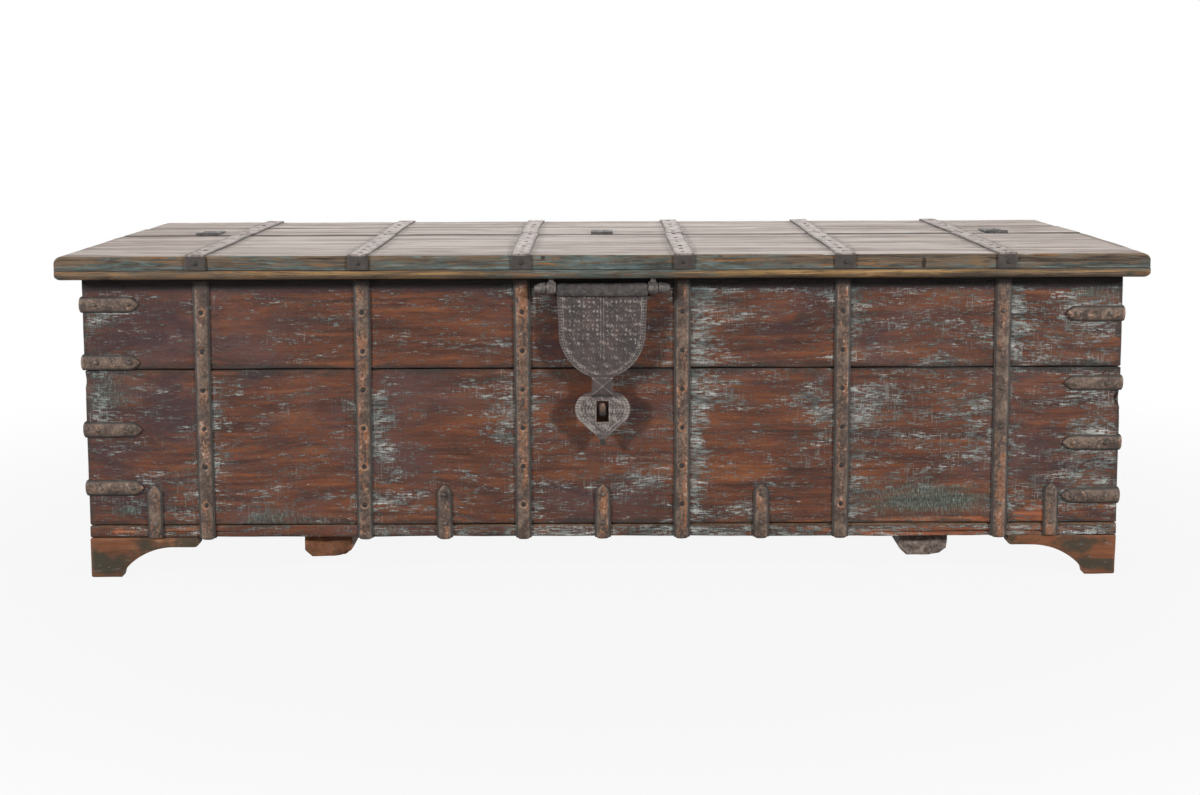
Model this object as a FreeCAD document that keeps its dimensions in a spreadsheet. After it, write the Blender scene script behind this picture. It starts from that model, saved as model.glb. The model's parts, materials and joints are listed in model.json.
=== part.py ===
import FreeCAD, Part
import math
import os
import re

import Sketcher

# An iron-bound plank trunk with a half lid, used as a low table. Millimetres.
# +X runs to the right along the front, +Y from the front to the back, +Z up.
# The origin is on the floor, under the middle of the lid.

SIZES = (
    # The lid and the box under it
    ("lid_length", 1600, "lid, end to end"),
    ("lid_depth", 660, "lid, front to back"),
    ("overhang", 30, "lid past the box, on each side"),
    ("foot_height", 61, "floor to the underside of the box"),
    ("bottom_thickness", 19, "bottom boards"),
    ("lower_board_height", 236, "lower board of each wall"),
    ("upper_board_height", 136, "upper board of each wall"),
    ("wall_thickness", 20, "boards of the walls"),
    ("moulding_height", 14, "moulding under the lid boards"),
    ("moulding_round", 9, "rounded lower edge of the moulding"),
    ("lid_board_thickness", 22, "boards of the lid"),
    ("flap_depth", 372, "front edge of the lid to the hinge line"),
    ("flap_front_board_width", 97, "front board of the flap"),
    ("fixed_front_board_width", 148, "front board of the fixed top"),
    ("seam_gap", 3, "gap between the flap and the fixed top"),
    ("rail_width", 45, "rail that carries the fixed top at the seam"),
    ("rail_height", 30, "the same rail, top to bottom"),
    ("batten_width", 60, "battens across the flap's underside"),
    ("batten_thickness", 24, "the same battens, top to bottom"),
    ("batten_front_gap", 12, "front moulding to the battens"),
    ("batten_rear_gap", 30, "battens to the flap's rear edge"),
    # What the box stands on
    ("foot_band_gap", 1.5, "inner end of a foot to the first band"),
    ("foot_return_length", 150, "bracket foot along the end"),
    ("foot_thickness", 26, "brackets of the feet"),
    ("foot_pad_width", 46, "part of a foot that meets the floor"),
    ("foot_pad_rise", 5, "upright edge at the inner side of that part"),
    ("foot_arm_height", 15, "arm of a foot at its inner end"),
    ("foot_arm_run", 38, "straight stretch of that arm"),
    ("bearer_width", 73, "cross bearers under the bottom boards"),
    ("bearer_height", 34, "the same bearers, top to bottom"),
    ("bearer_setback", 14, "front of the box to the bearers"),
    ("bearer_chamfer", 11, "cut-off lower corners of the bearers"),
    ("left_bearer_gap", 10, "left bearer to the band on its right"),
    ("right_bearer_gap", 79, "right bearer to the band on its left"),
    # Iron bands, short straps and corner straps of the box
    ("band_width", 24, "bands round the box"),
    ("band_thickness", 4, "iron of the bands and straps"),
    ("band_round", 2, "rounded outer edges of the bands and straps"),
    ("band_bend", 5, "outer radius where a band or strap bends"),
    ("band_end_gap", 177.5, "ends of the box to the outermost bands"),
    ("band_top_gap", 2, "top of a band to the top of the box"),
    ("short_strap_width", 23, "short straps at the bottom edge"),
    ("short_strap_height", 80, "the same straps, up from the box's underside"),
    ("short_strap_fold", 40, "part of a short strap under the box"),
    ("short_strap_gap", 4.5, "corner straps to the outermost short straps"),
    ("corner_strap_width", 23, "straps round the corners"),
    ("corner_strap_reach", 84, "the same straps, along each side"),
    ("strap_point", 8, "corners cut off the straps' pointed ends"),
    ("left_strap_1_share", 0.902, "left corner straps, of the walls' height"),
    ("left_strap_2_share", 0.681, "the second from the top"),
    ("left_strap_3_share", 0.422, "the third"),
    ("left_strap_4_share", 0.196, "the lowest"),
    ("right_strap_1_share", 0.856, "right corner straps, of the walls' height"),
    ("right_strap_2_share", 0.590, "the second from the top"),
    ("right_strap_3_share", 0.361, "the third"),
    ("right_strap_4_share", 0.156, "the lowest"),
    # Iron straps of the lid
    ("lid_strap_width", 29, "straps across the lid"),
    ("lid_strap_thickness", 2.5, "the same straps"),
    ("lid_strap_round", 0.8, "their rounded outer edges"),
    ("lid_strap_bend", 3, "their outer radius at the lid's edge"),
    ("lid_strap_seam_gap", 6, "their ends to the hinge line"),
    # Nails
    ("nail_head_radius", 4.2, "nail heads"),
    ("nail_head_height", 2.4, "nail heads, base to crown"),
    ("nail_shank_radius", 1.6, "nail shanks"),
    ("nail_length", 17, "nail shanks, below the head"),
    ("band_nail_top", 51, "top of the box to a band's first nail"),
    ("band_nail_pitch", 58, "from one nail of a band to the next"),
    ("strap_nail_tip_gap", 15, "pointed end of a strap to its nail"),
    ("strap_nail_corner_gap", 20, "corner of the box to a corner strap's nail"),
    ("short_nail_pitch", 44, "from one nail of a short strap to the next"),
    ("lid_nail_gap", 26, "edge of a lid board to its nails"),
    ("leaf_nail_gap", 12, "rear edge of a hinge leaf to its nail"),
    # Hinges of the flap
    ("hinge_end_gap", 145, "ends of the lid to the outer hinges"),
    ("hinge_width", 36, "hinges, along the seam"),
    ("hinge_pin_radius", 2.5, "hinge pins"),
    ("knuckle_radius", 4.5, "knuckles round the pins"),
    ("knuckle_gap", 0.4, "between neighbouring knuckles"),
    ("running_gap", 0.05, "round a pin in its bore"),
    ("leaf_thickness", 2, "leaves of the hinges"),
    ("fixed_leaf_length", 60, "leaf on the fixed top, front to back"),
    ("flap_leaf_height", 17, "leaf on the flap's rear edge"),
    ("hinge_clearance", 0.8, "round the hinges in the boards"),
    ("cut_overrun", 5, "how far a cut runs past the face it opens"),
    # Hasp, its pin and its eyes
    ("hasp_drop", 14.5, "underside of the lid to the hasp's pin"),
    ("hasp_standoff", 15, "front of the box to the hasp's pin"),
    ("hasp_pin_radius", 5, "pin of the hasp"),
    ("barrel_length", 134, "barrel of the hasp"),
    ("barrel_rise", 7.5, "barrel above the pin's centre"),
    ("barrel_fall", 13, "barrel below the pin's centre"),
    ("barrel_depth", 16, "barrel, front to back"),
    ("barrel_round", 2.5, "rounded long edges of the barrel"),
    ("tang_depth", 7, "top of the plate inside the barrel"),
    ("eye_radius", 10, "eyes that hold the pin"),
    ("eye_width", 14, "eyes, along the pin"),
    ("eye_gap", 0.75, "barrel to an eye"),
    ("eye_prong_width", 8, "prong of an eye"),
    ("eye_prong_length", 18, "prong of an eye inside the lid"),
    ("pin_head_radius", 8.5, "heads of the pin"),
    ("pin_head_length", 17, "heads of the pin, along it"),
    ("pin_head_round", 3, "rounded rims of those heads"),
    ("pin_head_gap", 1, "an eye to a head of the pin"),
    ("plate_thickness", 4, "plate of the hasp"),
    ("shield_inset", 0.5, "end of the barrel to the shield's side"),
    ("shield_height", 119, "barrel to the neck"),
    ("shield_straight", 46, "straight upper sides of the shield"),
    ("shield_taper", 2.5, "shield's side, in from the top to where it begins to curve"),
    ("shield_radius", 71, "curve of the shield's lower sides"),
    ("neck_width", 32, "neck between the shield and the heart"),
    ("neck_height", 22, "neck, top to bottom"),
    ("neck_rise", 3, "neck in front of the plate"),
    ("heart_height", 71, "heart, neck to tip"),
    ("heart_radius", 26, "curve of the heart's sides"),
    ("heart_turn_width", 60, "heart where its sides begin to run straight"),
    ("heart_turn_drop", 47, "the same place, below the neck"),
    ("finial_width", 8, "finial under the heart"),
    ("finial_length", 9, "finial, top to bottom"),
    ("slot_width", 18, "slot of the heart"),
    ("slot_height", 31, "slot, top to bottom"),
    ("slot_gap", 14, "neck to the slot"),
    ("rivet_radius", 1.5, "rivets of the barrel"),
    ("rivet_head_radius", 3, "their heads"),
    ("rivet_head_height", 1.8, "their heads, base to crown"),
    ("rivet_end_gap", 15, "end of the barrel to its outer rivets"),
    # Staple that the slot drops over
    ("staple_width", 13, "staple, along the front"),
    ("staple_thickness", 5, "iron of the staple"),
    ("staple_height", 23.5, "staple, top to bottom"),
    ("staple_gap", 1.5, "top of the slot to the staple"),
    ("staple_prong", 17, "prongs of the staple inside the wall"),
    ("staple_round", 4, "rounded nose of the staple"),
)

DERIVED = {
    "box_length": "lid_length - 2 * overhang",
    "box_depth": "lid_depth - 2 * overhang",
    "end_x": "box_length / 2",
    "face_y": "box_depth / 2",
    "floor_z": "foot_height + bottom_thickness",
    "joint_z": "floor_z + lower_board_height",
    "box_top": "joint_z + upper_board_height",
    "board_z": "box_top + moulding_height",
    "lid_top": "board_z + lid_board_thickness",
    "lid_x": "lid_length / 2",
    "lid_y": "lid_depth / 2",
    "moulding_width": "overhang + wall_thickness",
    "bay": "(box_length - 2 * band_end_gap) / 5",
    "foot_length": "band_end_gap - band_width / 2 - foot_band_gap",
    "outer_short_x": "end_x - corner_strap_reach - short_strap_gap - short_strap_width / 2",
    "left_bearer_x": "0 - 1.5 * bay - band_width / 2 - left_bearer_gap - bearer_width / 2",
    "right_bearer_x": "1.5 * bay + band_width / 2 + right_bearer_gap + bearer_width / 2",
    "outer_hinge_x": "lid_x - hinge_end_gap",
    "seam_y": "flap_depth - lid_y",
    "flap_back": "seam_y - seam_gap / 2",
    "fixed_front": "seam_y + seam_gap / 2",
    "flap_joint_y": "flap_front_board_width - lid_y",
    "fixed_joint_y": "fixed_front + fixed_front_board_width",
    "mortise": "knuckle_radius + hinge_clearance",
    "hinge_third": "hinge_width / 3",
    "hasp_z": "box_top - hasp_drop",
    "hasp_y": "0 - face_y - hasp_standoff",
    "shield_half": "barrel_length / 2 - shield_inset",
    "shield_turn_z": "0 - barrel_fall - shield_straight",
    "neck_z": "0 - barrel_fall - shield_height",
    "heart_z": "neck_z - neck_height",
    "heart_turn_z": "heart_z - heart_turn_drop",
    "finial_z": "heart_z - heart_height",
    "slot_z": "heart_z - slot_gap",
    "pin_half": "barrel_length / 2 + eye_gap + eye_width + pin_head_gap + pin_head_length",
    "staple_top": "hasp_z + slot_z - staple_gap",
}

TOUCH = 1e-4
LONG_EDGE_SHARE = 1.5

doc = FreeCAD.newDocument("trunk_table")
sheet = doc.addObject("Spreadsheet::Sheet", "sizes")
for row, (alias, number, note) in enumerate(SIZES, start=1):
    sheet.set(f"A{row}", note)
    sheet.set(f"B{row}", str(number))
    sheet.setAlias(f"B{row}", alias)
doc.recompute()

ALIASES = {alias for alias, number, note in SIZES}
NODES = []


def spelled(words):
    """An expression in which derived names are opened up and aliases carry their sheet's name."""
    def swap(match):
        word = match.group(0)
        if word in DERIVED:
            return "(" + spelled(DERIVED[word]) + ")"
        return "sizes." + word if word in ALIASES else word
    return re.sub(r"[a-z][a-z0-9_]*", swap, words)


def value(words):
    """The number that an expression gives now."""
    return float(sheet.evalExpression(spelled(words)))


def bind(thing, place, words):
    """Tie a property of a thing to the sheet."""
    thing.setExpression(place, spelled(words))


def put(thing, x="0", y="0", z="0"):
    """Tie the place of a thing to the sheet."""
    bind(thing, "Placement.Base.x", x)
    bind(thing, "Placement.Base.y", y)
    bind(thing, "Placement.Base.z", z)
    return thing


def node(thing):
    """Note a thing as one of the finished pieces."""
    NODES.append(thing)
    return thing


def block(label, x, y, z):
    """A box between the low and the high end given for each axis."""
    box = doc.addObject("Part::Box", label)
    for side, (low, high) in zip(("Length", "Width", "Height"), (x, y, z)):
        bind(box, side, f"({high}) - ({low})")
    return put(box, x[0], y[0], z[0])


def rod(label, x, y, z, radius):
    """A round bar along X between the two ends given for x."""
    bar = doc.addObject("Part::Cylinder", label)
    turn = FreeCAD.Rotation(FreeCAD.Vector(0, 1, 0), 90)
    bar.Placement = FreeCAD.Placement(FreeCAD.Vector(), turn)
    bind(bar, "Radius", radius)
    bind(bar, "Height", f"({x[1]}) - ({x[0]})")
    return put(bar, x[0], y, z)


def joined(label, pieces):
    """Pieces fused into one solid."""
    fusion = doc.addObject("Part::MultiFuse", label)
    fusion.Shapes = pieces
    return fusion


def less(label, base, tools):
    """A base with the tools cut out of it."""
    cut = doc.addObject("Part::Cut", label)
    cut.Base = base
    cut.Tool = joined(label + "_tools", tools) if len(tools) > 1 else tools[0]
    return cut


def group(label, pieces):
    """Separate solids that make one node."""
    bundle = doc.addObject("Part::Compound", label)
    bundle.Links = pieces
    return bundle


def arc_between(start, end, radius, centre_left):
    """The shorter arc from start to end, with its centre on the left or the right of the way there."""
    chord = end - start
    side = FreeCAD.Vector(-chord.y, chord.x, 0).normalize()
    rise = math.sqrt(radius ** 2 - (chord.Length / 2) ** 2)
    centre = (start + end) / 2 + side * (rise if centre_left else -rise)
    first, last = (start, end) if centre_left else (end, start)
    angles = [math.atan2((p - centre).y, (p - centre).x) for p in (first, last)]
    circle = Part.Circle(centre, FreeCAD.Vector(0, 0, 1), radius)
    return Part.ArcOfCircle(circle, *angles)


def draw(sketch, outline, arcs=None):
    """Add a closed outline to a sketch. Its corners are pairs of expressions, and arcs maps the number
    of a side to the radius of that side and to whether its centre is on the left."""
    arcs = arcs or {}
    corners = [FreeCAD.Vector(value(x), value(y), 0) for x, y in outline]
    sides = []
    for i, start in enumerate(corners):
        end = corners[(i + 1) % len(corners)]
        if i in arcs:
            radius, centre_left = arcs[i]
            side = sketch.addGeometry(arc_between(start, end, value(radius), centre_left), False)
            sides.append((side, 1, 2) if centre_left else (side, 2, 1))
            rule = sketch.addConstraint(Sketcher.Constraint("Radius", side, value(radius)))
            bind(sketch, f"Constraints[{rule}]", radius)
        else:
            sides.append((sketch.addGeometry(Part.LineSegment(start, end), False), 1, 2))
    for i, (side, head, tail) in enumerate(sides):
        before, before_head, before_tail = sides[i - 1]
        sketch.addConstraint(Sketcher.Constraint("Coincident", before, before_tail, side, head))
        for kind, words in zip(("DistanceX", "DistanceY"), outline[i]):
            rule = sketch.addConstraint(Sketcher.Constraint(kind, -1, 1, side, head, value(words)))
            bind(sketch, f"Constraints[{rule}]", words)


def new_sketch(body, plane, name):
    """An empty sketch on one of a body's own planes."""
    sketch = body.newObject("Sketcher::SketchObject", name)
    support = [part for part in body.Origin.OriginFeatures if part.Role == plane]
    sketch.AttachmentSupport = [(support[0], "")]
    sketch.MapMode = "FlatFace"
    return sketch


def extrusion(label, plane, outline, depth, arcs=None, hole=None):
    """A body of even depth about a plane, from an outline and at most one hole."""
    body = doc.addObject("PartDesign::Body", label)
    sketch = new_sketch(body, plane, label + "_outline")
    draw(sketch, outline, arcs)
    if hole:
        draw(sketch, hole)
    pad = body.newObject("PartDesign::Pad", label + "_pad")
    pad.Profile = sketch
    pad.SideType = "Symmetric"
    bind(pad, "Length", depth)
    return body


def middle(edge):
    """The point half way along an edge."""
    return edge.valueAt((edge.FirstParameter + edge.LastParameter) / 2)


def dress(body, kind, size, amount, wanted):
    """Fillet or chamfer the edges of a body that are wanted."""
    doc.recompute()
    last = body.Tip
    names = [f"Edge{i}" for i, edge in enumerate(last.Shape.Edges, start=1) if wanted(edge)]
    feature = body.newObject("PartDesign::" + kind, f"{body.Label}_{kind.lower()}")
    feature.Base = (last, names)
    bind(feature, size, amount)
    return feature


def rounded(body, radius, wanted):
    """Round the edges of a body that are wanted."""
    return dress(body, "Fillet", "Radius", radius, wanted)


def near(a, b):
    """Whether two lengths are the same."""
    return abs(a - b) < TOUCH


def mirrored(side, words):
    """An expression, turned over for the left or the front (side -1)."""
    return words if side > 0 else f"0 - ({words})"


def span(side, low, high):
    """The low and high end of a stretch, turned over for the left or the front (side -1)."""
    return (low, high) if side > 0 else (mirrored(side, high), mirrored(side, low))


SIDES = (("left", -1), ("right", 1))
ENDS = (("front", -1), ("back", 1))
BANDS = range(6)
WALL_LEVELS = (("lower", "floor_z", "joint_z"), ("upper", "joint_z", "box_top"))


def band_x(i):
    """Where the bands and the lid straps lie along the box."""
    return f"{i - (len(BANDS) - 1) / 2} * bay"


# Walls: two boards each. The front and the back run the full length, with the ends between them.
for level, low, high in WALL_LEVELS:
    for name, side in ENDS:
        across = span(side, "face_y - wall_thickness", "face_y")
        node(block(f"{name}_{level}_board", ("0 - end_x", "end_x"), across, (low, high)))
    for name, side in SIDES:
        across = span(side, "end_x - wall_thickness", "end_x")
        inside = ("wall_thickness - face_y", "face_y - wall_thickness")
        node(block(f"{name}_{level}_board", across, inside, (low, high)))

# Bottom: three boards that the walls stand on.
BOTTOM = ("bottom_front_board", "bottom_middle_board", "bottom_rear_board")
for i, name in enumerate(BOTTOM):
    strip = [f"{i + end} * box_depth / {len(BOTTOM)} - face_y" for end in (0, 1)]
    node(block(name, ("0 - end_x", "end_x"), strip, ("foot_height", "floor_z")))

# Cross bearers under the bottom, clear of the floor.
for name in ("left", "right"):
    bearer = extrusion(
        f"{name}_bearer", "XZ_Plane",
        [("0 - bearer_width / 2", "foot_height"),
         ("0 - bearer_width / 2", "foot_height - bearer_height + bearer_chamfer"),
         ("bearer_chamfer - bearer_width / 2", "foot_height - bearer_height"),
         ("bearer_width / 2 - bearer_chamfer", "foot_height - bearer_height"),
         ("bearer_width / 2", "foot_height - bearer_height + bearer_chamfer"),
         ("bearer_width / 2", "foot_height")],
        "box_depth - 2 * bearer_setback")
    node(put(bearer, x=f"{name}_bearer_x"))


def bracket(label, plane, side, pad, length):
    """Half a bracket foot, from its outer edge inwards: a pad, a hollow curve and a thin arm."""
    turn = f"({length} - foot_arm_run)"
    arm = "(foot_height - foot_arm_height)"
    curve_run = f"({turn} - ({pad}))"
    curve_rise = f"({arm} - foot_pad_rise)"
    outline = [("0", "0"), (pad, "0"), (pad, "foot_pad_rise"), (turn, arm), (length, arm),
               (length, "foot_height"), ("0", "foot_height")]
    outline = [(mirrored(side, x), z) for x, z in outline]
    radius = f"({curve_run} ^ 2 + {curve_rise} ^ 2) / (2 * {curve_rise})"
    return extrusion(label, plane, outline, "foot_thickness", arcs={2: (radius, side < 0)})


# Feet: a bracket along the front or the back, and one along the end behind it.
for end_name, end in ENDS:
    for side_name, side in SIDES:
        label = f"{end_name}_{side_name}_foot"
        long_half = bracket(label + "_bracket", "XZ_Plane", -side, "foot_pad_width", "foot_length")
        put(long_half, x=mirrored(side, "end_x"), y=mirrored(end, "face_y - foot_thickness / 2"))
        end_half = bracket(label + "_return", "YZ_Plane", -end,
                           "foot_pad_width - foot_thickness", "foot_return_length")
        put(end_half, x=mirrored(side, "end_x - foot_thickness / 2"),
            y=mirrored(end, "face_y - foot_thickness"))
        node(group(label, [long_half, end_half]))


def soften(strap, half_width, thickness, bend, round_edge, across, is_bend, on_wood):
    """Round a strap where it bends, if it does, then along its outer edges."""
    doc.recompute()
    if any(is_bend(edge) for edge in strap.Tip.Shape.Edges):
        rounded(strap, bend, is_bend)
    half = value(half_width)
    short = value(thickness) * LONG_EDGE_SHARE

    def outer(edge):
        point = middle(edge)
        return near(abs(across(point)), half) and edge.Length > short and not on_wood(point)

    rounded(strap, round_edge, outer)


def x_of(point):
    return point.x


def z_of(point):
    return point.z


# Iron bands: down the front, under the bottom and up the back.
def iron_band(label):
    """One band round three sides of the box."""
    out = "face_y + band_thickness"
    under = "foot_height - band_thickness"
    top = "box_top - band_top_gap"
    outline = [(f"0 - ({out})", top), (f"0 - ({out})", under), (out, under), (out, top),
               ("face_y", top), ("face_y", "foot_height"), ("0 - face_y", "foot_height"),
               ("0 - face_y", top)]
    band = extrusion(label, "YZ_Plane", outline, "band_width")
    face, low, outer_face, outer_low = value("face_y"), value("foot_height"), value(out), value(under)

    def is_bend(edge):
        point = middle(edge)
        return near(abs(point.y), outer_face) and near(point.z, outer_low)

    def on_wood(point):
        on_face = near(abs(point.y), face) and point.z > low - TOUCH
        return on_face or (near(point.z, low) and abs(point.y) < face + TOUCH)

    soften(band, "band_width / 2", "band_thickness", "band_bend", "band_round", x_of, is_bend, on_wood)
    return band


for i in BANDS:
    node(put(iron_band(f"iron_band_{i + 1}"), x=band_x(i)))


# Short straps: pointed at the top and folded under the bottom edge, but cut off there over a foot.
def short_strap(label, end, over_foot):
    """One short strap on the front or the back."""
    out = "face_y + band_thickness"
    under = "foot_height - band_thickness"
    top = "foot_height + short_strap_height"
    fold = "face_y - short_strap_fold"
    outline = [(out, top), (out, "foot_height"), ("face_y", "foot_height"), ("face_y", top)]
    if not over_foot:
        outline[1:2] = [(out, under), (fold, under), (fold, "foot_height")]
    outline = [(mirrored(end, y), z) for y, z in outline]
    strap = extrusion(label, "YZ_Plane", outline, "short_strap_width")
    half, high, low = value("short_strap_width / 2"), value(top), value("foot_height")
    face, outer_face, outer_low = value("face_y"), value(out), value(under)

    def is_tip(edge):
        point = middle(edge)
        return near(abs(point.x), half) and near(point.z, high)

    def is_bend(edge):
        point = middle(edge)
        return near(abs(point.y), outer_face) and near(point.z, outer_low)

    def on_wood(point):
        return near(abs(point.y), face) or near(point.z, low)

    dress(strap, "Chamfer", "Size", "strap_point", is_tip)
    soften(strap, "short_strap_width / 2", "band_thickness", "band_bend", "band_round", x_of, is_bend,
           on_wood)
    return strap


SHORT_STRAPS = ("0 - outer_short_x", "0 - bay", "0", "bay", "outer_short_x")


def over_foot(i):
    """Whether a short strap is the first or the last, above a foot."""
    return i in (0, len(SHORT_STRAPS) - 1)


for i, place in enumerate(SHORT_STRAPS):
    node(put(short_strap(f"short_strap_{i + 1}", -1, over_foot(i)), x=place))
node(group("back_short_straps", [put(short_strap(f"back_short_strap_{i + 1}", 1, over_foot(i)), x=place)
                                 for i, place in enumerate(SHORT_STRAPS)]))


# Corner straps: round an upright corner of the box, pointed at both ends.
def corner_strap(label, side, end):
    """One strap round a corner, in the frame of the box at the height of its middle."""
    out_x = "end_x + band_thickness"
    out_y = "face_y + band_thickness"
    tip_x = "end_x - corner_strap_reach"
    tip_y = "face_y - corner_strap_reach"
    outline = [(tip_x, out_y), (out_x, out_y), (out_x, tip_y), ("end_x", tip_y),
               ("end_x", "face_y"), (tip_x, "face_y")]
    outline = [(mirrored(side, x), mirrored(end, y)) for x, y in outline]
    strap = extrusion(label, "XY_Plane", outline, "corner_strap_width")
    half = value("corner_strap_width / 2")
    tips, outer_x, outer_y = (value(tip_x), value(tip_y)), value(out_x), value(out_y)
    wood_x, wood_y = value("end_x"), value("face_y")

    def is_tip(edge):
        point = middle(edge)
        at_tip = near(abs(point.x), tips[0]) or near(abs(point.y), tips[1])
        return near(abs(point.z), half) and at_tip

    def is_bend(edge):
        point = middle(edge)
        return near(abs(point.x), outer_x) and near(abs(point.y), outer_y)

    def on_wood(point):
        return near(abs(point.x), wood_x) or near(abs(point.y), wood_y)

    dress(strap, "Chamfer", "Size", "strap_point", is_tip)
    soften(strap, "corner_strap_width / 2", "band_thickness", "band_bend", "band_round", z_of, is_bend,
           on_wood)
    return strap


CORNER_LEVELS = (1, 2, 3, 4)


def corner_strap_z(side_name, level):
    """The height of the middle of a corner strap."""
    return f"foot_height + {side_name}_strap_{level}_share * (box_top - foot_height)"


for end_name, end in ENDS:
    for side_name, side in SIDES:
        label = f"{end_name}_{side_name}_corner_straps"
        straps = [put(corner_strap(f"{label}_{level}", side, end), z=corner_strap_z(side_name, level))
                  for level in CORNER_LEVELS]
        node(group(label, straps))

# Lid boards. Their edges at the seam are cut out for the hinges.
HINGES = ("0 - outer_hinge_x", "0", "outer_hinge_x")
LID_SPAN = ("0 - lid_x", "lid_x")
BOARD_LEVEL = ("board_z", "lid_top")


def hinge_room(x):
    """The stretch of the seam that one hinge takes, with its clearance."""
    return (f"{x} - hinge_width / 2 - hinge_clearance", f"{x} + hinge_width / 2 + hinge_clearance")


node(block("flap_front_board", LID_SPAN, ("0 - lid_y", "flap_joint_y"), BOARD_LEVEL))
node(less("flap_main_board",
          block("flap_main_plank", LID_SPAN, ("flap_joint_y", "flap_back"), BOARD_LEVEL),
          [block(f"flap_mortise_{i + 1}", hinge_room(x), ("seam_y - mortise", "flap_back + cut_overrun"),
                 ("board_z - cut_overrun", "lid_top + cut_overrun")) for i, x in enumerate(HINGES)]))
node(less("fixed_front_board",
          block("fixed_front_plank", LID_SPAN, ("fixed_front", "fixed_joint_y"), BOARD_LEVEL),
          [block(f"fixed_mortise_{i + 1}", hinge_room(x),
                 ("fixed_front - cut_overrun", "seam_y + mortise"),
                 ("lid_top - mortise", "lid_top + cut_overrun")) for i, x in enumerate(HINGES)]))
node(block("fixed_rear_board", LID_SPAN, ("fixed_joint_y", "lid_y"), BOARD_LEVEL))


# Mouldings under the lid boards: on the tops of the walls, rounded below their outer edge.
def long_moulding(label, end):
    """The moulding along the front or the back, with its ends."""
    outline = [("0 - lid_x", "box_top"), ("lid_x", "box_top"), ("lid_x", "board_z"),
               ("0 - lid_x", "board_z")]
    strip = extrusion(label, "XZ_Plane", outline, "moulding_width")
    low, tip, face = value("box_top"), value("lid_x"), value("moulding_width / 2")

    def outer(edge):
        point = middle(edge)
        return near(point.z, low) and (near(abs(point.x), tip) or near(point.y * end, face))

    rounded(strip, "moulding_round", outer)
    return put(strip, y=mirrored(end, "lid_y - moulding_width / 2"))


def end_moulding(label, side, low_y, high_y):
    """A moulding along one end of the lid, between two places."""
    outline = [(low_y, "box_top"), (high_y, "box_top"), (high_y, "board_z"), (low_y, "board_z")]
    strip = extrusion(label, "YZ_Plane", outline, "moulding_width")
    low, face = value("box_top"), value("moulding_width / 2")

    def outer(edge):
        point = middle(edge)
        return near(point.z, low) and near(point.x * side, face)

    rounded(strip, "moulding_round", outer)
    return put(strip, x=mirrored(side, "lid_x - moulding_width / 2"))


node(long_moulding("flap_front_moulding", -1))
node(long_moulding("fixed_rear_moulding", 1))
for name, side in SIDES:
    node(end_moulding(f"flap_{name}_moulding", side, "moulding_width - lid_y", "flap_back"))
    node(end_moulding(f"fixed_{name}_moulding", side, "fixed_front", "lid_y - moulding_width"))

# Under the lid: the rail that carries the fixed top at the seam, and the battens of the flap.
node(block("fixed_top_rail", ("wall_thickness - end_x", "end_x - wall_thickness"),
           ("fixed_front", "fixed_front + rail_width"), ("board_z - rail_height", "board_z")))
BATTENS = ("0 - 2 * bay", "0", "2 * bay")
node(group("flap_battens", [
    block(f"flap_batten_{i + 1}", (f"{x} - batten_width / 2", f"{x} + batten_width / 2"),
          ("moulding_width + batten_front_gap - lid_y", "flap_back - batten_rear_gap"),
          ("board_z - batten_thickness", "board_z")) for i, x in enumerate(BATTENS)]))


# Lid straps: over the top and down the edge, broken at the seam.
def lid_strap(label, end, seam_end):
    """A strap over the front or the back edge of the lid, to its end at the seam."""
    out = mirrored(end, "lid_y + lid_strap_thickness")
    edge_y = mirrored(end, "lid_y")
    top = "lid_top + lid_strap_thickness"
    outline = [(out, "board_z"), (out, top), (seam_end, top), (seam_end, "lid_top"),
               (edge_y, "lid_top"), (edge_y, "board_z")]
    strap = extrusion(label, "YZ_Plane", outline, "lid_strap_width")
    outer_y, outer_top, wood_y, wood_top = value(out), value(top), value(edge_y), value("lid_top")

    def is_bend(edge):
        point = middle(edge)
        return near(point.y, outer_y) and near(point.z, outer_top)

    def on_wood(point):
        return near(point.y, wood_y) or near(point.z, wood_top)

    soften(strap, "lid_strap_width / 2", "lid_strap_thickness", "lid_strap_bend", "lid_strap_round", x_of,
           is_bend, on_wood)
    return strap


node(group("flap_straps", [
    put(lid_strap(f"flap_strap_{i + 1}", -1, "seam_y - lid_strap_seam_gap"), x=band_x(i))
    for i in BANDS]))
node(group("fixed_top_straps", [
    put(lid_strap(f"fixed_top_strap_{i + 1}", 1, "seam_y + lid_strap_seam_gap"), x=band_x(i))
    for i in BANDS]))


# Hinges: two knuckles on the leaf of the fixed top, one between them on the leaf of the flap.
def fixed_leaf(label, x):
    """A leaf on top of the fixed boards, with its outer knuckles."""
    flat = ("lid_top", "lid_top + leaf_thickness")
    plate = block(label + "_plate", (f"{x} - hinge_width / 2", f"{x} + hinge_width / 2"),
                  ("seam_y + mortise", "seam_y + mortise + fixed_leaf_length"), flat)
    pieces = [plate]
    near_end = "hinge_third / 2 + knuckle_gap / 2"
    for name, side in SIDES:
        low, high = span(side, near_end, "hinge_width / 2")
        ends = (f"{x} + {low}", f"{x} + {high}")
        pieces.append(block(f"{label}_{name}_tongue", ends, ("seam_y", "seam_y + mortise"), flat))
        pieces.append(rod(f"{label}_{name}_knuckle", ends, "seam_y", "lid_top", "knuckle_radius"))
    return bored(label, joined(label + "_blank", pieces), x)


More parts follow.
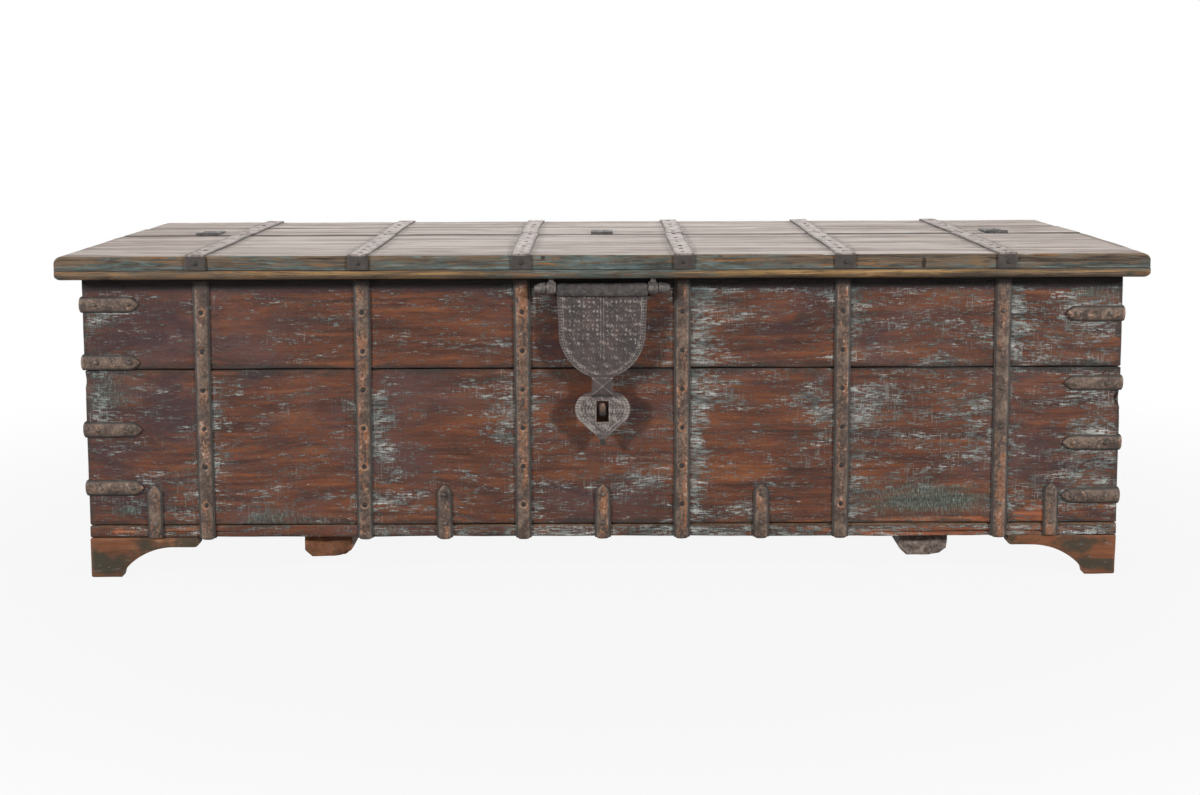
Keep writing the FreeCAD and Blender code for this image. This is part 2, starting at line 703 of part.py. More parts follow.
def flap_leaf(label, x):
    """A leaf on the rear edge of the flap, with its middle knuckle."""
    ends = (f"{x} - hinge_third / 2 + knuckle_gap / 2", f"{x} + hinge_third / 2 - knuckle_gap / 2")
    upright = ("seam_y - mortise", "seam_y - mortise + leaf_thickness")
    plate = block(label + "_plate", (f"{x} - hinge_width / 2", f"{x} + hinge_width / 2"), upright,
                  ("lid_top - flap_leaf_height", "lid_top - mortise"))
    tongue = block(label + "_tongue", ends, upright, ("lid_top - mortise", "lid_top"))
    knuckle = rod(label + "_knuckle", ends, "seam_y", "lid_top", "knuckle_radius")
    return bored(label, joined(label + "_blank", [plate, tongue, knuckle]), x)


def bored(label, blank, x):
    """A hinge leaf with the bore for its pin."""
    ends = (f"{x} - hinge_width / 2 - cut_overrun", f"{x} + hinge_width / 2 + cut_overrun")
    return less(label, blank, [rod(label + "_bore", ends, "seam_y", "lid_top",
                                   "hinge_pin_radius + running_gap")])


node(group("fixed_hinge_leaves", [fixed_leaf(f"fixed_leaf_{i + 1}", x) for i, x in enumerate(HINGES)]))
node(group("flap_hinge_leaves", [flap_leaf(f"flap_leaf_{i + 1}", x) for i, x in enumerate(HINGES)]))
node(group("hinge_pins", [
    rod(f"hinge_pin_{i + 1}", (f"{x} - hinge_width / 2", f"{x} + hinge_width / 2"), "seam_y", "lid_top",
        "hinge_pin_radius") for i, x in enumerate(HINGES)]))

# Hasp: a shield, a neck and a slotted heart in one plate, which hangs from a barrel.
HALF_HASP = [("shield_half", "tang_depth - barrel_fall"),
             ("shield_half - shield_taper", "shield_turn_z"),
             ("neck_width / 2", "neck_z"),
             ("neck_width / 2", "heart_z"),
             ("heart_turn_width / 2", "heart_turn_z"),
             ("finial_width / 2", "finial_z"),
             ("finial_width / 2", "finial_z - finial_length")]
hasp_outline = HALF_HASP + [(mirrored(-1, x), z) for x, z in reversed(HALF_HASP)]
HASP_ARCS = {1: ("shield_radius", False), 3: ("heart_radius", False),
             9: ("heart_radius", False), 11: ("shield_radius", False)}
SLOT = [("0 - slot_width / 2", "slot_z"), ("slot_width / 2", "slot_z"),
        ("slot_width / 2", "slot_z - slot_height"), ("0 - slot_width / 2", "slot_z - slot_height")]
hasp_plate = extrusion("hasp_plate", "XZ_Plane", hasp_outline, "plate_thickness", HASP_ARCS, SLOT)
neck_sketch = new_sketch(hasp_plate, "XZ_Plane", "neck_outline")
draw(neck_sketch, [("0 - neck_width / 2", "neck_z"), ("neck_width / 2", "neck_z"),
                   ("neck_width / 2", "heart_z"), ("0 - neck_width / 2", "heart_z")])
neck = hasp_plate.newObject("PartDesign::Pad", "neck_pad")
neck.Profile = neck_sketch
bind(neck, "Length", "plate_thickness / 2 + neck_rise")
node(put(hasp_plate, y="hasp_y", z="hasp_z"))

# Barrel: wraps the pin above and holds the top of the plate below.
barrel_blank = extrusion(
    "hasp_barrel_blank", "YZ_Plane",
    [("0 - barrel_depth / 2", "0 - barrel_fall"), ("0 - plate_thickness / 2", "0 - barrel_fall"),
     ("0 - plate_thickness / 2", "tang_depth - barrel_fall"),
     ("plate_thickness / 2", "tang_depth - barrel_fall"), ("plate_thickness / 2", "0 - barrel_fall"),
     ("barrel_depth / 2", "0 - barrel_fall"), ("barrel_depth / 2", "barrel_rise"),
     ("0 - barrel_depth / 2", "barrel_rise")],
    "barrel_length")
barrel_face = value("barrel_depth / 2")
barrel_half = value("barrel_length / 2")


def barrel_edge(edge):
    point = middle(edge)
    return near(abs(point.y), barrel_face) and abs(point.x) < barrel_half - TOUCH


rounded(barrel_blank, "barrel_round", barrel_edge)
put(barrel_blank, y="hasp_y", z="hasp_z")
barrel_bore = rod("hasp_barrel_bore",
                  ("0 - barrel_length / 2 - cut_overrun", "barrel_length / 2 + cut_overrun"),
                  "hasp_y", "hasp_z", "hasp_pin_radius + running_gap")
node(less("hasp_barrel", barrel_blank, [barrel_bore]))

# Pin of the hasp: a rod with a head at each end, turned about X.
hasp_pin = doc.addObject("PartDesign::Body", "hasp_pin")
pin_sketch = new_sketch(hasp_pin, "XZ_Plane", "hasp_pin_outline")
draw(pin_sketch, [("0 - pin_half", "0"), ("pin_half", "0"), ("pin_half", "pin_head_radius"),
                  ("pin_half - pin_head_length", "pin_head_radius"),
                  ("pin_half - pin_head_length", "hasp_pin_radius"),
                  ("pin_head_length - pin_half", "hasp_pin_radius"),
                  ("pin_head_length - pin_half", "pin_head_radius"),
                  ("0 - pin_half", "pin_head_radius")])
pin_turn = hasp_pin.newObject("PartDesign::Revolution", "hasp_pin_turn")
pin_turn.Profile = pin_sketch
pin_turn.ReferenceAxis = (pin_sketch, ["H_Axis"])
head_radius = value("pin_head_radius")


def head_rim(edge):
    return hasattr(edge.Curve, "Radius") and near(edge.Curve.Radius, head_radius)


rounded(hasp_pin, "pin_head_round", head_rim)
node(put(hasp_pin, y="hasp_y", z="hasp_z"))

# Eyes: rings round the pin, with prongs driven up into the lid.
for name, side in SIDES:
    ring_ends = span(side, "barrel_length / 2 + eye_gap", "barrel_length / 2 + eye_gap + eye_width")
    ring_middle = mirrored(side, "barrel_length / 2 + eye_gap + eye_width / 2")
    ring = rod(f"{name}_eye_ring", ring_ends, "hasp_y", "hasp_z", "eye_radius")
    prong = block(f"{name}_eye_prong",
                  (f"{ring_middle} - eye_prong_width / 2", f"{ring_middle} + eye_prong_width / 2"),
                  ("hasp_y - eye_prong_width / 2", "hasp_y + eye_prong_width / 2"),
                  ("hasp_z", "box_top + eye_prong_length"))
    bore_ends = (f"{ring_ends[0]} - cut_overrun", f"{ring_ends[1]} + cut_overrun")
    bore = rod(f"{name}_eye_bore", bore_ends, "hasp_y", "hasp_z", "hasp_pin_radius + running_gap")
    node(less(f"{name}_hasp_eye", joined(f"{name}_eye_blank", [ring, prong]), [bore]))

# Staple: its nose stands in the slot, level with the middle of the plate.
staple = extrusion(
    "staple", "YZ_Plane",
    [("staple_prong - face_y", "staple_top - staple_height"), ("hasp_y", "staple_top - staple_height"),
     ("hasp_y", "staple_top"), ("staple_prong - face_y", "staple_top"),
     ("staple_prong - face_y", "staple_top - staple_thickness"),
     ("hasp_y + staple_thickness", "staple_top - staple_thickness"),
     ("hasp_y + staple_thickness", "staple_top - staple_height + staple_thickness"),
     ("staple_prong - face_y", "staple_top - staple_height + staple_thickness")],
    "staple_width")
nose_y = value("hasp_y")
nose_edge = (value("staple_top"), value("staple_top - staple_height"))


def staple_nose(edge):
    point = middle(edge)
    return near(point.y, nose_y) and any(near(point.z, level) for level in nose_edge)


rounded(staple, "staple_round", staple_nose)
node(staple)


# Nails and rivets: a domed head on a straight shank.
def nail(head_radius, head_height, shank_radius, length):
    """A nail that points down from the origin, where the underside of its head is."""
    dome = (head_radius ** 2 + head_height ** 2) / (2 * head_height)
    lean = math.asin(head_radius / dome) / 2
    half_way = FreeCAD.Vector(dome * math.sin(lean), 0, head_height - dome * (1 - math.cos(lean)))
    crown = FreeCAD.Vector(0, 0, head_height)
    corners = [FreeCAD.Vector(0, 0, -length), FreeCAD.Vector(shank_radius, 0, -length),
               FreeCAD.Vector(shank_radius, 0, 0), FreeCAD.Vector(head_radius, 0, 0)]
    edges = [Part.LineSegment(a, b).toShape() for a, b in zip(corners, corners[1:])]
    edges.append(Part.Arc(corners[-1], half_way, crown).toShape())
    edges.append(Part.LineSegment(crown, corners[0]).toShape())
    section = Part.Face(Part.Wire(edges))
    return section.revolve(FreeCAD.Vector(), FreeCAD.Vector(0, 0, 1), 360)


OUT = {"front": (0, -1, 0), "back": (0, 1, 0), "left": (-1, 0, 0), "right": (1, 0, 0), "up": (0, 0, 1)}


def nails(label, shape, places):
    """A node of like nails. Each place is a point under the head and the way that the head faces."""
    pieces = []
    for point, facing in places:
        turn = FreeCAD.Rotation(FreeCAD.Vector(0, 0, 1), FreeCAD.Vector(*OUT[facing]))
        piece = shape.copy()
        piece.Placement = FreeCAD.Placement(FreeCAD.Vector(*point), turn)
        pieces.append(piece)
    bundle = doc.addObject("Part::Feature", label)
    bundle.Shape = Part.makeCompound(pieces)
    return node(bundle)


def band_nails():
    """Nails down both legs of each band, as many as fit above the box's underside."""
    first = value("box_top - band_nail_top")
    pitch = value("band_nail_pitch")
    count = int((first - value("foot_height")) // pitch) + 1
    for i in BANDS:
        for facing, end in ENDS:
            for k in range(count):
                y = end * value("face_y + band_thickness")
                yield (value(band_x(i)), y, first - k * pitch), facing


def short_strap_nails():
    """Two nails in each short strap."""
    first = value("foot_height + short_strap_height - strap_nail_tip_gap")
    for place in SHORT_STRAPS:
        for facing, end in ENDS:
            for z in (first, first - value("short_nail_pitch")):
                yield (value(place), end * value("face_y + band_thickness"), z), facing


def corner_strap_nails():
    """Two nails in each leg of each corner strap."""
    gaps = ("strap_nail_corner_gap", "corner_strap_reach - strap_nail_tip_gap")
    for end_name, end in ENDS:
        for side_name, side in SIDES:
            for level in CORNER_LEVELS:
                z = value(corner_strap_z(side_name, level))
                for gap in gaps:
                    along_x, along_y = value(f"end_x - ({gap})"), value(f"face_y - ({gap})")
                    yield (side * along_x, end * value("face_y + band_thickness"), z), end_name
                    yield (side * value("end_x + band_thickness"), end * along_y, z), side_name


def lid_strap_nails(end_name, end, boards):
    """Nails along each strap of half a lid, and one in its fold over the edge. The boards that the strap
    crosses are given by their two edges and the shares of the way between their outer nails."""
    top = value("lid_top + lid_strap_thickness")
    fold = end * value("lid_y + lid_strap_thickness")
    for i in BANDS:
        x = value(band_x(i))
        for low, high, shares in boards:
            first, last = value(f"{low} + lid_nail_gap"), value(f"{high} - lid_nail_gap")
            for share in shares:
                yield (x, first + (last - first) * share, top), "up"
        yield (x, fold, value("board_z + lid_board_thickness / 2")), end_name


def leaf_nails():
    """Two nails in each hinge leaf of the fixed top."""
    for x in HINGES:
        for side_name, side in SIDES:
            y = value("seam_y + mortise + fixed_leaf_length - leaf_nail_gap")
            x_nail = value(x) + side * value("hinge_width / 2 - leaf_nail_gap")
            yield (x_nail, y, value("lid_top + leaf_thickness")), "up"


strap_nail = nail(value("nail_head_radius"), value("nail_head_height"), value("nail_shank_radius"),
                  value("nail_length"))
rivet = nail(value("rivet_head_radius"), value("rivet_head_height"), value("rivet_radius"),
             value("barrel_depth"))
nails("box_nails", strap_nail, [*band_nails(), *short_strap_nails(), *corner_strap_nails()])
TWO_NAIL_SHARES = (0, 1)
FOUR_NAIL_SHARES = (0, 1 / 3, 2 / 3, 1)
FLAP_BOARDS = (("0 - lid_y", "flap_joint_y", TWO_NAIL_SHARES),
               ("flap_joint_y", "flap_back", FOUR_NAIL_SHARES))
FIXED_BOARDS = (("fixed_front", "fixed_joint_y", TWO_NAIL_SHARES),
                ("fixed_joint_y", "lid_y", TWO_NAIL_SHARES))
nails("flap_nails", strap_nail, lid_strap_nails("front", -1, FLAP_BOARDS))
nails("fixed_top_nails", strap_nail, [*lid_strap_nails("back", 1, FIXED_BOARDS), *leaf_nails()])
rivet_x = value("barrel_length / 2 - rivet_end_gap")
rivet_y = value("hasp_y - barrel_depth / 2")
rivet_z = value("hasp_z - barrel_fall + tang_depth / 2")
nails("hasp_rivets", rivet,
      [((k * rivet_x, rivet_y, rivet_z), "front") for k in (-1, 0, 1)])

doc.recompute()
for thing in doc.Objects:
    if {"Invalid", "Error"} & set(thing.State):
        raise RuntimeError(f"{thing.Label} failed: {thing.State}")
for thing in NODES:
    if thing.Shape.isNull() or not thing.Shape.isValid():
        raise RuntimeError(f"{thing.Label} has no sound shape")

os.makedirs("parts", exist_ok=True)
for thing in NODES:
    thing.Shape.exportStep(f"parts/{thing.Label}.step")
    box = thing.Shape.BoundBox
    print(f"{thing.Label}: {len(thing.Shape.Solids)} solids, {thing.Shape.Volume / 1e3:.1f} cm3, "
          f"{box.XLength:.1f} x {box.YLength:.1f} x {box.ZLength:.1f}")
print(len(NODES), "nodes")
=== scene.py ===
# %% [markdown]
# An old plank trunk bound with iron, which serves as a low table. The construction model gives each
# piece its place and its motion. This lesson gives each piece its worn surface and its colours. Every
# length is in metres: X runs to the right along the front, Y to the back and Z up.

# %% The frame
import json
import math

import bpy
import numpy as np
from mathutils import Matrix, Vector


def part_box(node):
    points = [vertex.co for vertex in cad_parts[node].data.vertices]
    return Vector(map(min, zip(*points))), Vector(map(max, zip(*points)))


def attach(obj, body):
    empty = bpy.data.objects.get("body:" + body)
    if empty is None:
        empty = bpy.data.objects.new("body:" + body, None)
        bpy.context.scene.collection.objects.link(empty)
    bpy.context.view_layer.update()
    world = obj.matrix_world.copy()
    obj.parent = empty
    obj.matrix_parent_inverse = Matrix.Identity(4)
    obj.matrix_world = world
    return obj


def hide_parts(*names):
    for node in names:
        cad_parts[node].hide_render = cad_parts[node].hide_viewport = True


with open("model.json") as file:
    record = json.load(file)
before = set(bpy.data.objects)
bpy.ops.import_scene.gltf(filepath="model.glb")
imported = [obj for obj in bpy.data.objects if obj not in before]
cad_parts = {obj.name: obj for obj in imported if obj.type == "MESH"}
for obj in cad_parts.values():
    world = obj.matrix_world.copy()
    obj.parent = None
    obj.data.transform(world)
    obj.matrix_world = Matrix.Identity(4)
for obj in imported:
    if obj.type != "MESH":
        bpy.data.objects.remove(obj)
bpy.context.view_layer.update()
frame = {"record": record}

scene = bpy.context.scene
scene.view_settings.view_transform = "Standard"
BODY_OF = {node: body for body, nodes in frame["record"]["behaviour"]["bodies"].items() for node in nodes}

# %% [markdown]
# The camera stands about three metres in front of the trunk, a little above its lid. Straight edges of
# the trunk, measured in the photograph, gave its place, its tilt and the length of its lens. The middle of
# the picture lies below that of the lens, as after a crop, so the view is shifted down by the same share.

# %% Camera
IMAGE_WIDTH, IMAGE_HEIGHT = 1200, 795
FOCAL_PIXELS = 1820.6
LENS_ROW = 298.5
SENSOR = 36.0
LENS_PLACE = (-0.0020, -2.9703, 0.7346)
yaw, pitch, roll = np.radians([-0.026, 6.712, -0.196])

ahead = np.array([math.sin(yaw) * math.cos(pitch), math.cos(yaw) * math.cos(pitch), -math.sin(pitch)])
right = np.array([math.cos(yaw), -math.sin(yaw), 0.0])
up = np.cross(right, ahead)
camera_axes = np.eye(4)
camera_axes[:3, 0] = math.cos(roll) * right + math.sin(roll) * up
camera_axes[:3, 1] = math.cos(roll) * up - math.sin(roll) * right
camera_axes[:3, 2] = -ahead
camera_axes[:3, 3] = LENS_PLACE
camera_data = bpy.data.cameras.new("camera")
camera_data.sensor_width = SENSOR
camera_data.lens = FOCAL_PIXELS / IMAGE_WIDTH * SENSOR
camera_data.shift_y = (LENS_ROW - IMAGE_HEIGHT / 2) / IMAGE_WIDTH
camera = bpy.data.objects.new("camera", camera_data)
camera.matrix_world = Matrix(camera_axes.tolist())
scene.collection.objects.link(camera)
scene.camera = camera
print("lens", round(camera_data.lens, 2), "mm, shift", round(camera_data.shift_y, 4))

# %% [markdown]
# Materials are built from nodes. This class gives each kind of node a short name, so that a finish
# below reads as a recipe. Colours are written as the usual six hexadecimal digits and turned into the
# linear values that a shader works with.

# %% Recipes for finishes


def tone(code):
    """Linear colour of six hexadecimal digits: c/12.92 below 0.04045, else ((c + 0.055)/1.055)^2.4."""
    share = np.array([int(code[k:k + 2], 16) for k in (0, 2, 4)]) / 255
    linear = np.where(share <= 0.04045, share / 12.92, ((share + 0.055) / 1.055) ** 2.4)
    return (*linear.tolist(), 1.0)


class Finish:
    """A material, or the world, with a short method for each kind of node that it is made of."""

    def __init__(self, name, owner=None):
        self.material = owner or bpy.data.materials.new(name)
        self.material.use_nodes = True
        self.tree = self.material.node_tree
        self.shader = self.tree.nodes.get("Principled BSDF")

    def feed(self, socket, value):
        """Link a socket, or set it to a constant."""
        if isinstance(value, bpy.types.NodeSocket):
            self.tree.links.new(value, socket)
        else:
            socket.default_value = value

    def node(self, kind, inputs, **settings):
        """A node with some of its inputs, by name or number, and its settings."""
        made = self.tree.nodes.new(kind)
        for name, setting in settings.items():
            setattr(made, name, setting)
        for name, value in inputs.items():
            self.feed(made.inputs[name], value)
        return made

    def read(self, name, vector=False):
        """One of the piece's own attributes."""
        made = self.node("ShaderNodeAttribute", {}, attribute_name=name)
        return made.outputs["Vector" if vector else "Fac"]

    def math(self, operation, a, b=0.0):
        """Arithmetic on two numbers."""
        return self.node("ShaderNodeMath", {0: a, 1: b}, operation=operation).outputs[0]

    def add(self, *terms):
        """A sum of (share, number) terms."""
        total = None
        for share, term in terms:
            part = self.math("MULTIPLY", term, share)
            total = part if total is None else self.math("ADD", total, part)
        return total

    def noise(self, place, stretch, detail=5.0, roughness=0.6, distortion=0.0):
        """Noise with so many ripples to the metre along each of the three axes."""
        scaled = self.node("ShaderNodeMapping", {"Vector": place, "Scale": stretch}).outputs[0]
        return self.node("ShaderNodeTexNoise", {
            "Vector": scaled, "Scale": 1.0, "Detail": detail, "Roughness": roughness,
            "Distortion": distortion}).outputs[0]

    def step(self, value, low, high):
        """A smooth step from 0 at low to 1 at high."""
        return self.node("ShaderNodeMapRange", {0: value, 1: low, 2: high},
                         interpolation_type="SMOOTHSTEP").outputs[0]

    def ramp(self, share, *stops):
        """A colour for each share, between stops of (share, hexadecimal digits)."""
        made = self.node("ShaderNodeValToRGB", {0: share})
        band = made.color_ramp.elements
        while len(band) < len(stops):
            band.new(0.5)
        for element, (place, code) in zip(band, stops):
            element.position = place
            element.color = tone(code)
        return made.outputs[0]

    def blend(self, share, a, b):
        """Colour a, with b laid over it by a share."""
        return self.node("ShaderNodeMix", {0: share, 6: a, 7: b}, data_type="RGBA").outputs[2]

    def over(self, colour, layer, share, strength):
        """A colour under a layer, another colour or six digits, laid on by a share times a strength."""
        layer = tone(layer) if isinstance(layer, str) else layer
        return self.blend(self.math("MULTIPLY", share, strength), colour, layer)

    def finish(self, colour, roughness, height, depth, metallic=0.0, gloss=0.22):
        """Wire the recipe to the shader: its colour, its roughness and its relief, of so many metres."""
        self.feed(self.shader.inputs["Base Color"], colour)
        self.feed(self.shader.inputs["Roughness"], roughness)
        self.feed(self.shader.inputs["Metallic"], metallic)
        self.feed(self.shader.inputs["Specular IOR Level"], gloss)
        bump = self.node("ShaderNodeBump", {"Strength": 1.0, "Distance": depth, "Height": height})
        self.feed(self.shader.inputs["Normal"], bump.outputs[0])
        print("finish", self.material.name, "has", len(self.tree.nodes), "nodes")
        return self.material


# %% [markdown]
# A studio with a pale floor lights the trunk. In the photograph each raised iron throws two shadows, one
# to each side, so a lamp stands far to the left and another far to the right, both above the lid. They
# are small enough to keep those shadows clear. The floor fades to plain white away from the trunk and
# keeps the trunk's shadow near it.

# %% Studio
FLOOR_REACH = 14.0
floor_points = np.array([[-1, -1, 0], [1, -1, 0], [1, 1, 0], [-1, 1, 0]]) * FLOOR_REACH
floor_mesh = bpy.data.meshes.new("floor")
floor_mesh.from_pydata(floor_points.tolist(), [], [(0, 1, 2, 3)])
floor = bpy.data.objects.new("floor", floor_mesh)
scene.collection.objects.link(floor)


def seen_directly(finish):
    """1 on rays from the camera, and on those that metal or glass sends on, else 0."""
    path = finish.node("ShaderNodeLightPath", {}).outputs
    shiny = finish.math("MAXIMUM", path["Is Glossy Ray"], path["Is Transmission Ray"])
    return finish.math("MAXIMUM", path["Is Camera Ray"], shiny)


floor_finish = Finish("pale_floor")
floor_place = floor_finish.node("ShaderNodeTexCoord", {}).outputs["Object"]
floor_finish.feed(floor_finish.shader.inputs["Base Color"], tone("757472"))
floor_finish.feed(floor_finish.shader.inputs["Roughness"], 0.9)
away = floor_finish.node("ShaderNodeVectorMath", {0: floor_place}, operation="LENGTH").outputs["Value"]
fade = floor_finish.add((0.91, 1.0), (0.09, floor_finish.step(away, 0.8, 1.9)))
white_share = floor_finish.math("MULTIPLY", fade, seen_directly(floor_finish))
glow = floor_finish.node("ShaderNodeEmission", {"Color": (1, 1, 1, 1), "Strength": 1.0}).outputs[0]
floor_mix = floor_finish.node("ShaderNodeMixShader", {
    0: white_share, 1: floor_finish.shader.outputs[0], 2: glow}).outputs[0]
floor_finish.feed(floor_finish.tree.nodes["Material Output"].inputs[0], floor_mix)
floor_mesh.materials.append(floor_finish.material)

AMBIENT = 0.05
scene.world = bpy.data.worlds.new("studio")
sky = Finish("studio", scene.world)
sky_strength = sky.add((1 - AMBIENT, seen_directly(sky)), (AMBIENT, 1.0))
sky.feed(sky.tree.nodes["Background"].inputs["Color"], (1, 1, 1, 1))
sky.feed(sky.tree.nodes["Background"].inputs["Strength"], sky_strength)


def lamp(name, place, aim, size, watts):
    """A rectangular lamp of a size in metres, turned so that its -Z axis looks from its place to its aim."""
    data = bpy.data.lights.new(name, "AREA")
    data.shape = "RECTANGLE"
    data.size, data.size_y = size
    data.energy = watts
    thing = bpy.data.objects.new(name, data)
    back = np.array(place, float) - np.array(aim, float)
    back /= np.linalg.norm(back)
    side = np.cross([0, 0, 1.0], back)
    side /= np.linalg.norm(side)
    axes = np.eye(4)
    axes[:3, :3] = np.stack([side, np.cross(back, side), back], axis=1)
    axes[:3, 3] = place
    thing.matrix_world = Matrix(axes.tolist())
    scene.collection.objects.link(thing)


lamp("left_lamp", (-3.9, -2.3, 1.6), (-0.15, -0.25, 0.25), (0.36, 0.36), 210)
lamp("right_lamp", (3.9, -2.3, 1.6), (0.15, -0.25, 0.25), (0.36, 0.36), 210)
lamp("top_lamp", (0.0, 0.3, 3.1), (0, 0.05, 0.4), (2.2, 1.0), 21)
lamp("back_lamp", (0.0, 3.0, 2.2), (0, 0.05, 0.3), (2.4, 1.2), 60)
print("studio: ambient", AMBIENT, "and four lamps")

# %% [markdown]
# Every piece is a surface worked out as whole arrays. These helpers give smooth noise for wear, put
# finished arrays into a mesh, and hand the piece to the body that carries it. A piece takes the place of
# the construction solid of the same name, which then stays for collisions only.

# %% Arrays into pieces


def ripple(points, size, seed, octaves=3):
    """Smooth noise, about -1 to 1: a sum of sines along seeded directions, halved at each finer octave."""
    draw = np.random.default_rng(seed)
    total = np.zeros(points.shape[:-1])
    for octave in range(octaves):
        ways = draw.normal(size=(points.shape[-1], 6))
        starts = draw.uniform(0, 2 * math.pi, 6)
        total += np.sin(points / size * 2 ** octave @ ways + starts).sum(-1) / 3.5 * 0.5 ** octave
    return total


def bell(distance, reach):
    """A smooth bump, exp(-(d/r)^2)."""
    return np.exp(-(distance / reach) ** 2)


def ease(value, low, high):
    """A smooth step, 3t^2 - 2t^3 of t, which runs from 0 at low to 1 at high."""
    t = np.clip((value - low) / (high - low), 0, 1)
    return t * t * (3 - 2 * t)


def dents(points, size, seed):
    """How deep each point is dented, as a share of the deepest: 0.5 + 0.5*noise, and nothing below 0."""
    return (0.5 + 0.5 * ripple(points, size, seed)).clip(0)


def grid_faces(rows, columns, wrap=False):
    """Quads over rows x columns of points, row by row; wrap joins the last column to the first."""
    r = np.arange(rows - 1)[:, None]
    c = np.arange(columns if wrap else columns - 1)[None, :]
    after = (c + 1) % columns
    corners = (r * columns + c, r * columns + after, (r + 1) * columns + after, (r + 1) * columns + c)
    return np.stack(corners, -1).reshape(-1, 4)


def tube_faces(rows, columns):
    """Quads round a tube whose rows of points run the other way round, and a face over each end."""
    ring = np.arange(columns)
    ends = np.stack([ring, ((rows - 1) * columns + ring)[::-1]])
    return [grid_faces(rows, columns, wrap=True)[:, ::-1], ends]


def part(points, faces, **attributes):
    """One closed shell: its points, its blocks of faces and what its finish reads at each point."""
    blocks = faces if isinstance(faces, list) else [faces]
    return {"points": points.reshape(-1, 3), "faces": blocks, "attributes": attributes}


def piece(name, parts, finish):
    """Put shells into one mesh that stands for the construction node of its name and rides on its body,
    with the finish as its material."""
    first = np.cumsum([0] + [len(p["points"]) for p in parts])
    points = np.concatenate([p["points"] for p in parts])
    blocks = [block + start for p, start in zip(parts, first) for block in p["faces"]]
    counts = np.concatenate([np.full(len(block), block.shape[1]) for block in blocks])
    mesh = bpy.data.meshes.new(name)
    mesh.vertices.add(len(points))
    mesh.vertices.foreach_set("co", points.astype(np.float32).ravel())
    mesh.loops.add(int(counts.sum()))
    mesh.loops.foreach_set("vertex_index", np.concatenate([b.ravel() for b in blocks]).astype(np.int32))
    mesh.polygons.add(len(counts))
    mesh.polygons.foreach_set("loop_start", np.r_[0, np.cumsum(counts)[:-1]].astype(np.int32))
    mesh.update(calc_edges=True)
    mesh.shade_smooth()
    for key in parts[0]["attributes"]:
        values = np.concatenate([np.asarray(p["attributes"][key], float) for p in parts])
        vector = values.ndim == 2
        attribute = mesh.attributes.new(key, "FLOAT_VECTOR" if vector else "FLOAT", "POINT")
        attribute.data.foreach_set("vector" if vector else "value", values.astype(np.float32).ravel())
    mesh.materials.append(finish)
    thing = bpy.data.objects.new(name, mesh)
    scene.collection.objects.link(thing)
    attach(thing, BODY_OF[name])
    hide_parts(name)
    print(f"{name}: {len(points)} points, {len(counts)} faces")
    return thing


def corners_of(node):
    """The lowest and the highest corner of a construction node."""
    low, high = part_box(node)
    return np.array(low), np.array(high)


# %% [markdown]
# Some sizes come back in several steps: where the walls, the lid and its seam lie, how far apart the bands
# are, and which way is out. They are the construction model's own, so that iron and wood meet.

# %% Shared sizes
BAY = 0.237
BAND_X = (np.arange(6) - 2.5) * BAY
BAND_HALF, STRAP_HALF, BAND_THICK = 0.012, 0.0115, 0.004
END_X, FACE_Y = 0.770, 0.300
BOX_LOW, BOX_RISE, BAND_TOP = 0.061, 0.391, 0.450
STRAP_Z = {"left": BOX_LOW + BOX_RISE * np.array([0.902, 0.681, 0.422, 0.196]),
           "right": BOX_LOW + BOX_RISE * np.array([0.856, 0.590, 0.361, 0.156])}
LID_Y, LID_TOP, LID_LOW, SEAM_Y = 0.330, 0.488, 0.4665, 0.042
HASP_Y, HASP_Z = -0.315, 0.4375
ENDS, SIDES = (("front", -1), ("back", 1)), (("left", -1), ("right", 1))
UP, TO_FRONT, TO_BACK = (0, 0, 1), (0, -1, 0), (0, 1, 0)
print("bands at", BAND_X.round(4).tolist())

# %% [markdown]
# Planks, battens and iron plates all begin as a box whose surface is a lattice. The edges could be bevelled,
# but hand-worn edges are rounder in some places than in others, so each point near an edge moves onto a
# ball whose radius wanders with noise.

# %% Worn boxes


def stations(low, high, edge, step, extra=()):
    """Places along one side of a box: close together at both ends, even between them, and any extra ones."""
    close = edge * np.array([0, 0.3, 0.65, 1.1])
    count = max(2, int(round((high - low - 2.2 * edge) / step)) + 1)
    even = np.linspace(low + 1.1 * edge, high - 1.1 * edge, count)
    extra = [x for x in extra if low + 1.2 * edge < x < high - 1.2 * edge]
    return np.unique(np.concatenate([low + close, even, high - close, extra]).round(5))


def lattice(xs, ys, zs):
    """The six grids on the outside of a box lattice, with the points on their shared edges merged."""
    counts = (len(xs), len(ys), len(zs))
    quads = []
    for axis, (a, b) in enumerate(((1, 2), (2, 0), (0, 1))):
        i, j = np.meshgrid(np.arange(counts[a] - 1), np.arange(counts[b] - 1), indexing="ij")
        for end, turn in ((0, ((0, 0), (0, 1), (1, 1), (1, 0))),
                          (counts[axis] - 1, ((0, 0), (1, 0), (1, 1), (0, 1)))):
            corner = np.full(i.shape + (4, 3), end)
            corner[..., a] = i[..., None] + np.array([t[0] for t in turn])
            corner[..., b] = j[..., None] + np.array([t[1] for t in turn])
            quads.append(corner.reshape(-1, 4, 3))
    keys = np.concatenate(quads) @ np.array([counts[1] * counts[2], counts[2], 1])
    used, index = np.unique(keys, return_inverse=True)
    i, rest = np.divmod(used, counts[1] * counts[2])
    j, k = np.divmod(rest, counts[2])
    return np.stack([xs[i], ys[j], zs[k]], -1), index.reshape(-1, 4)


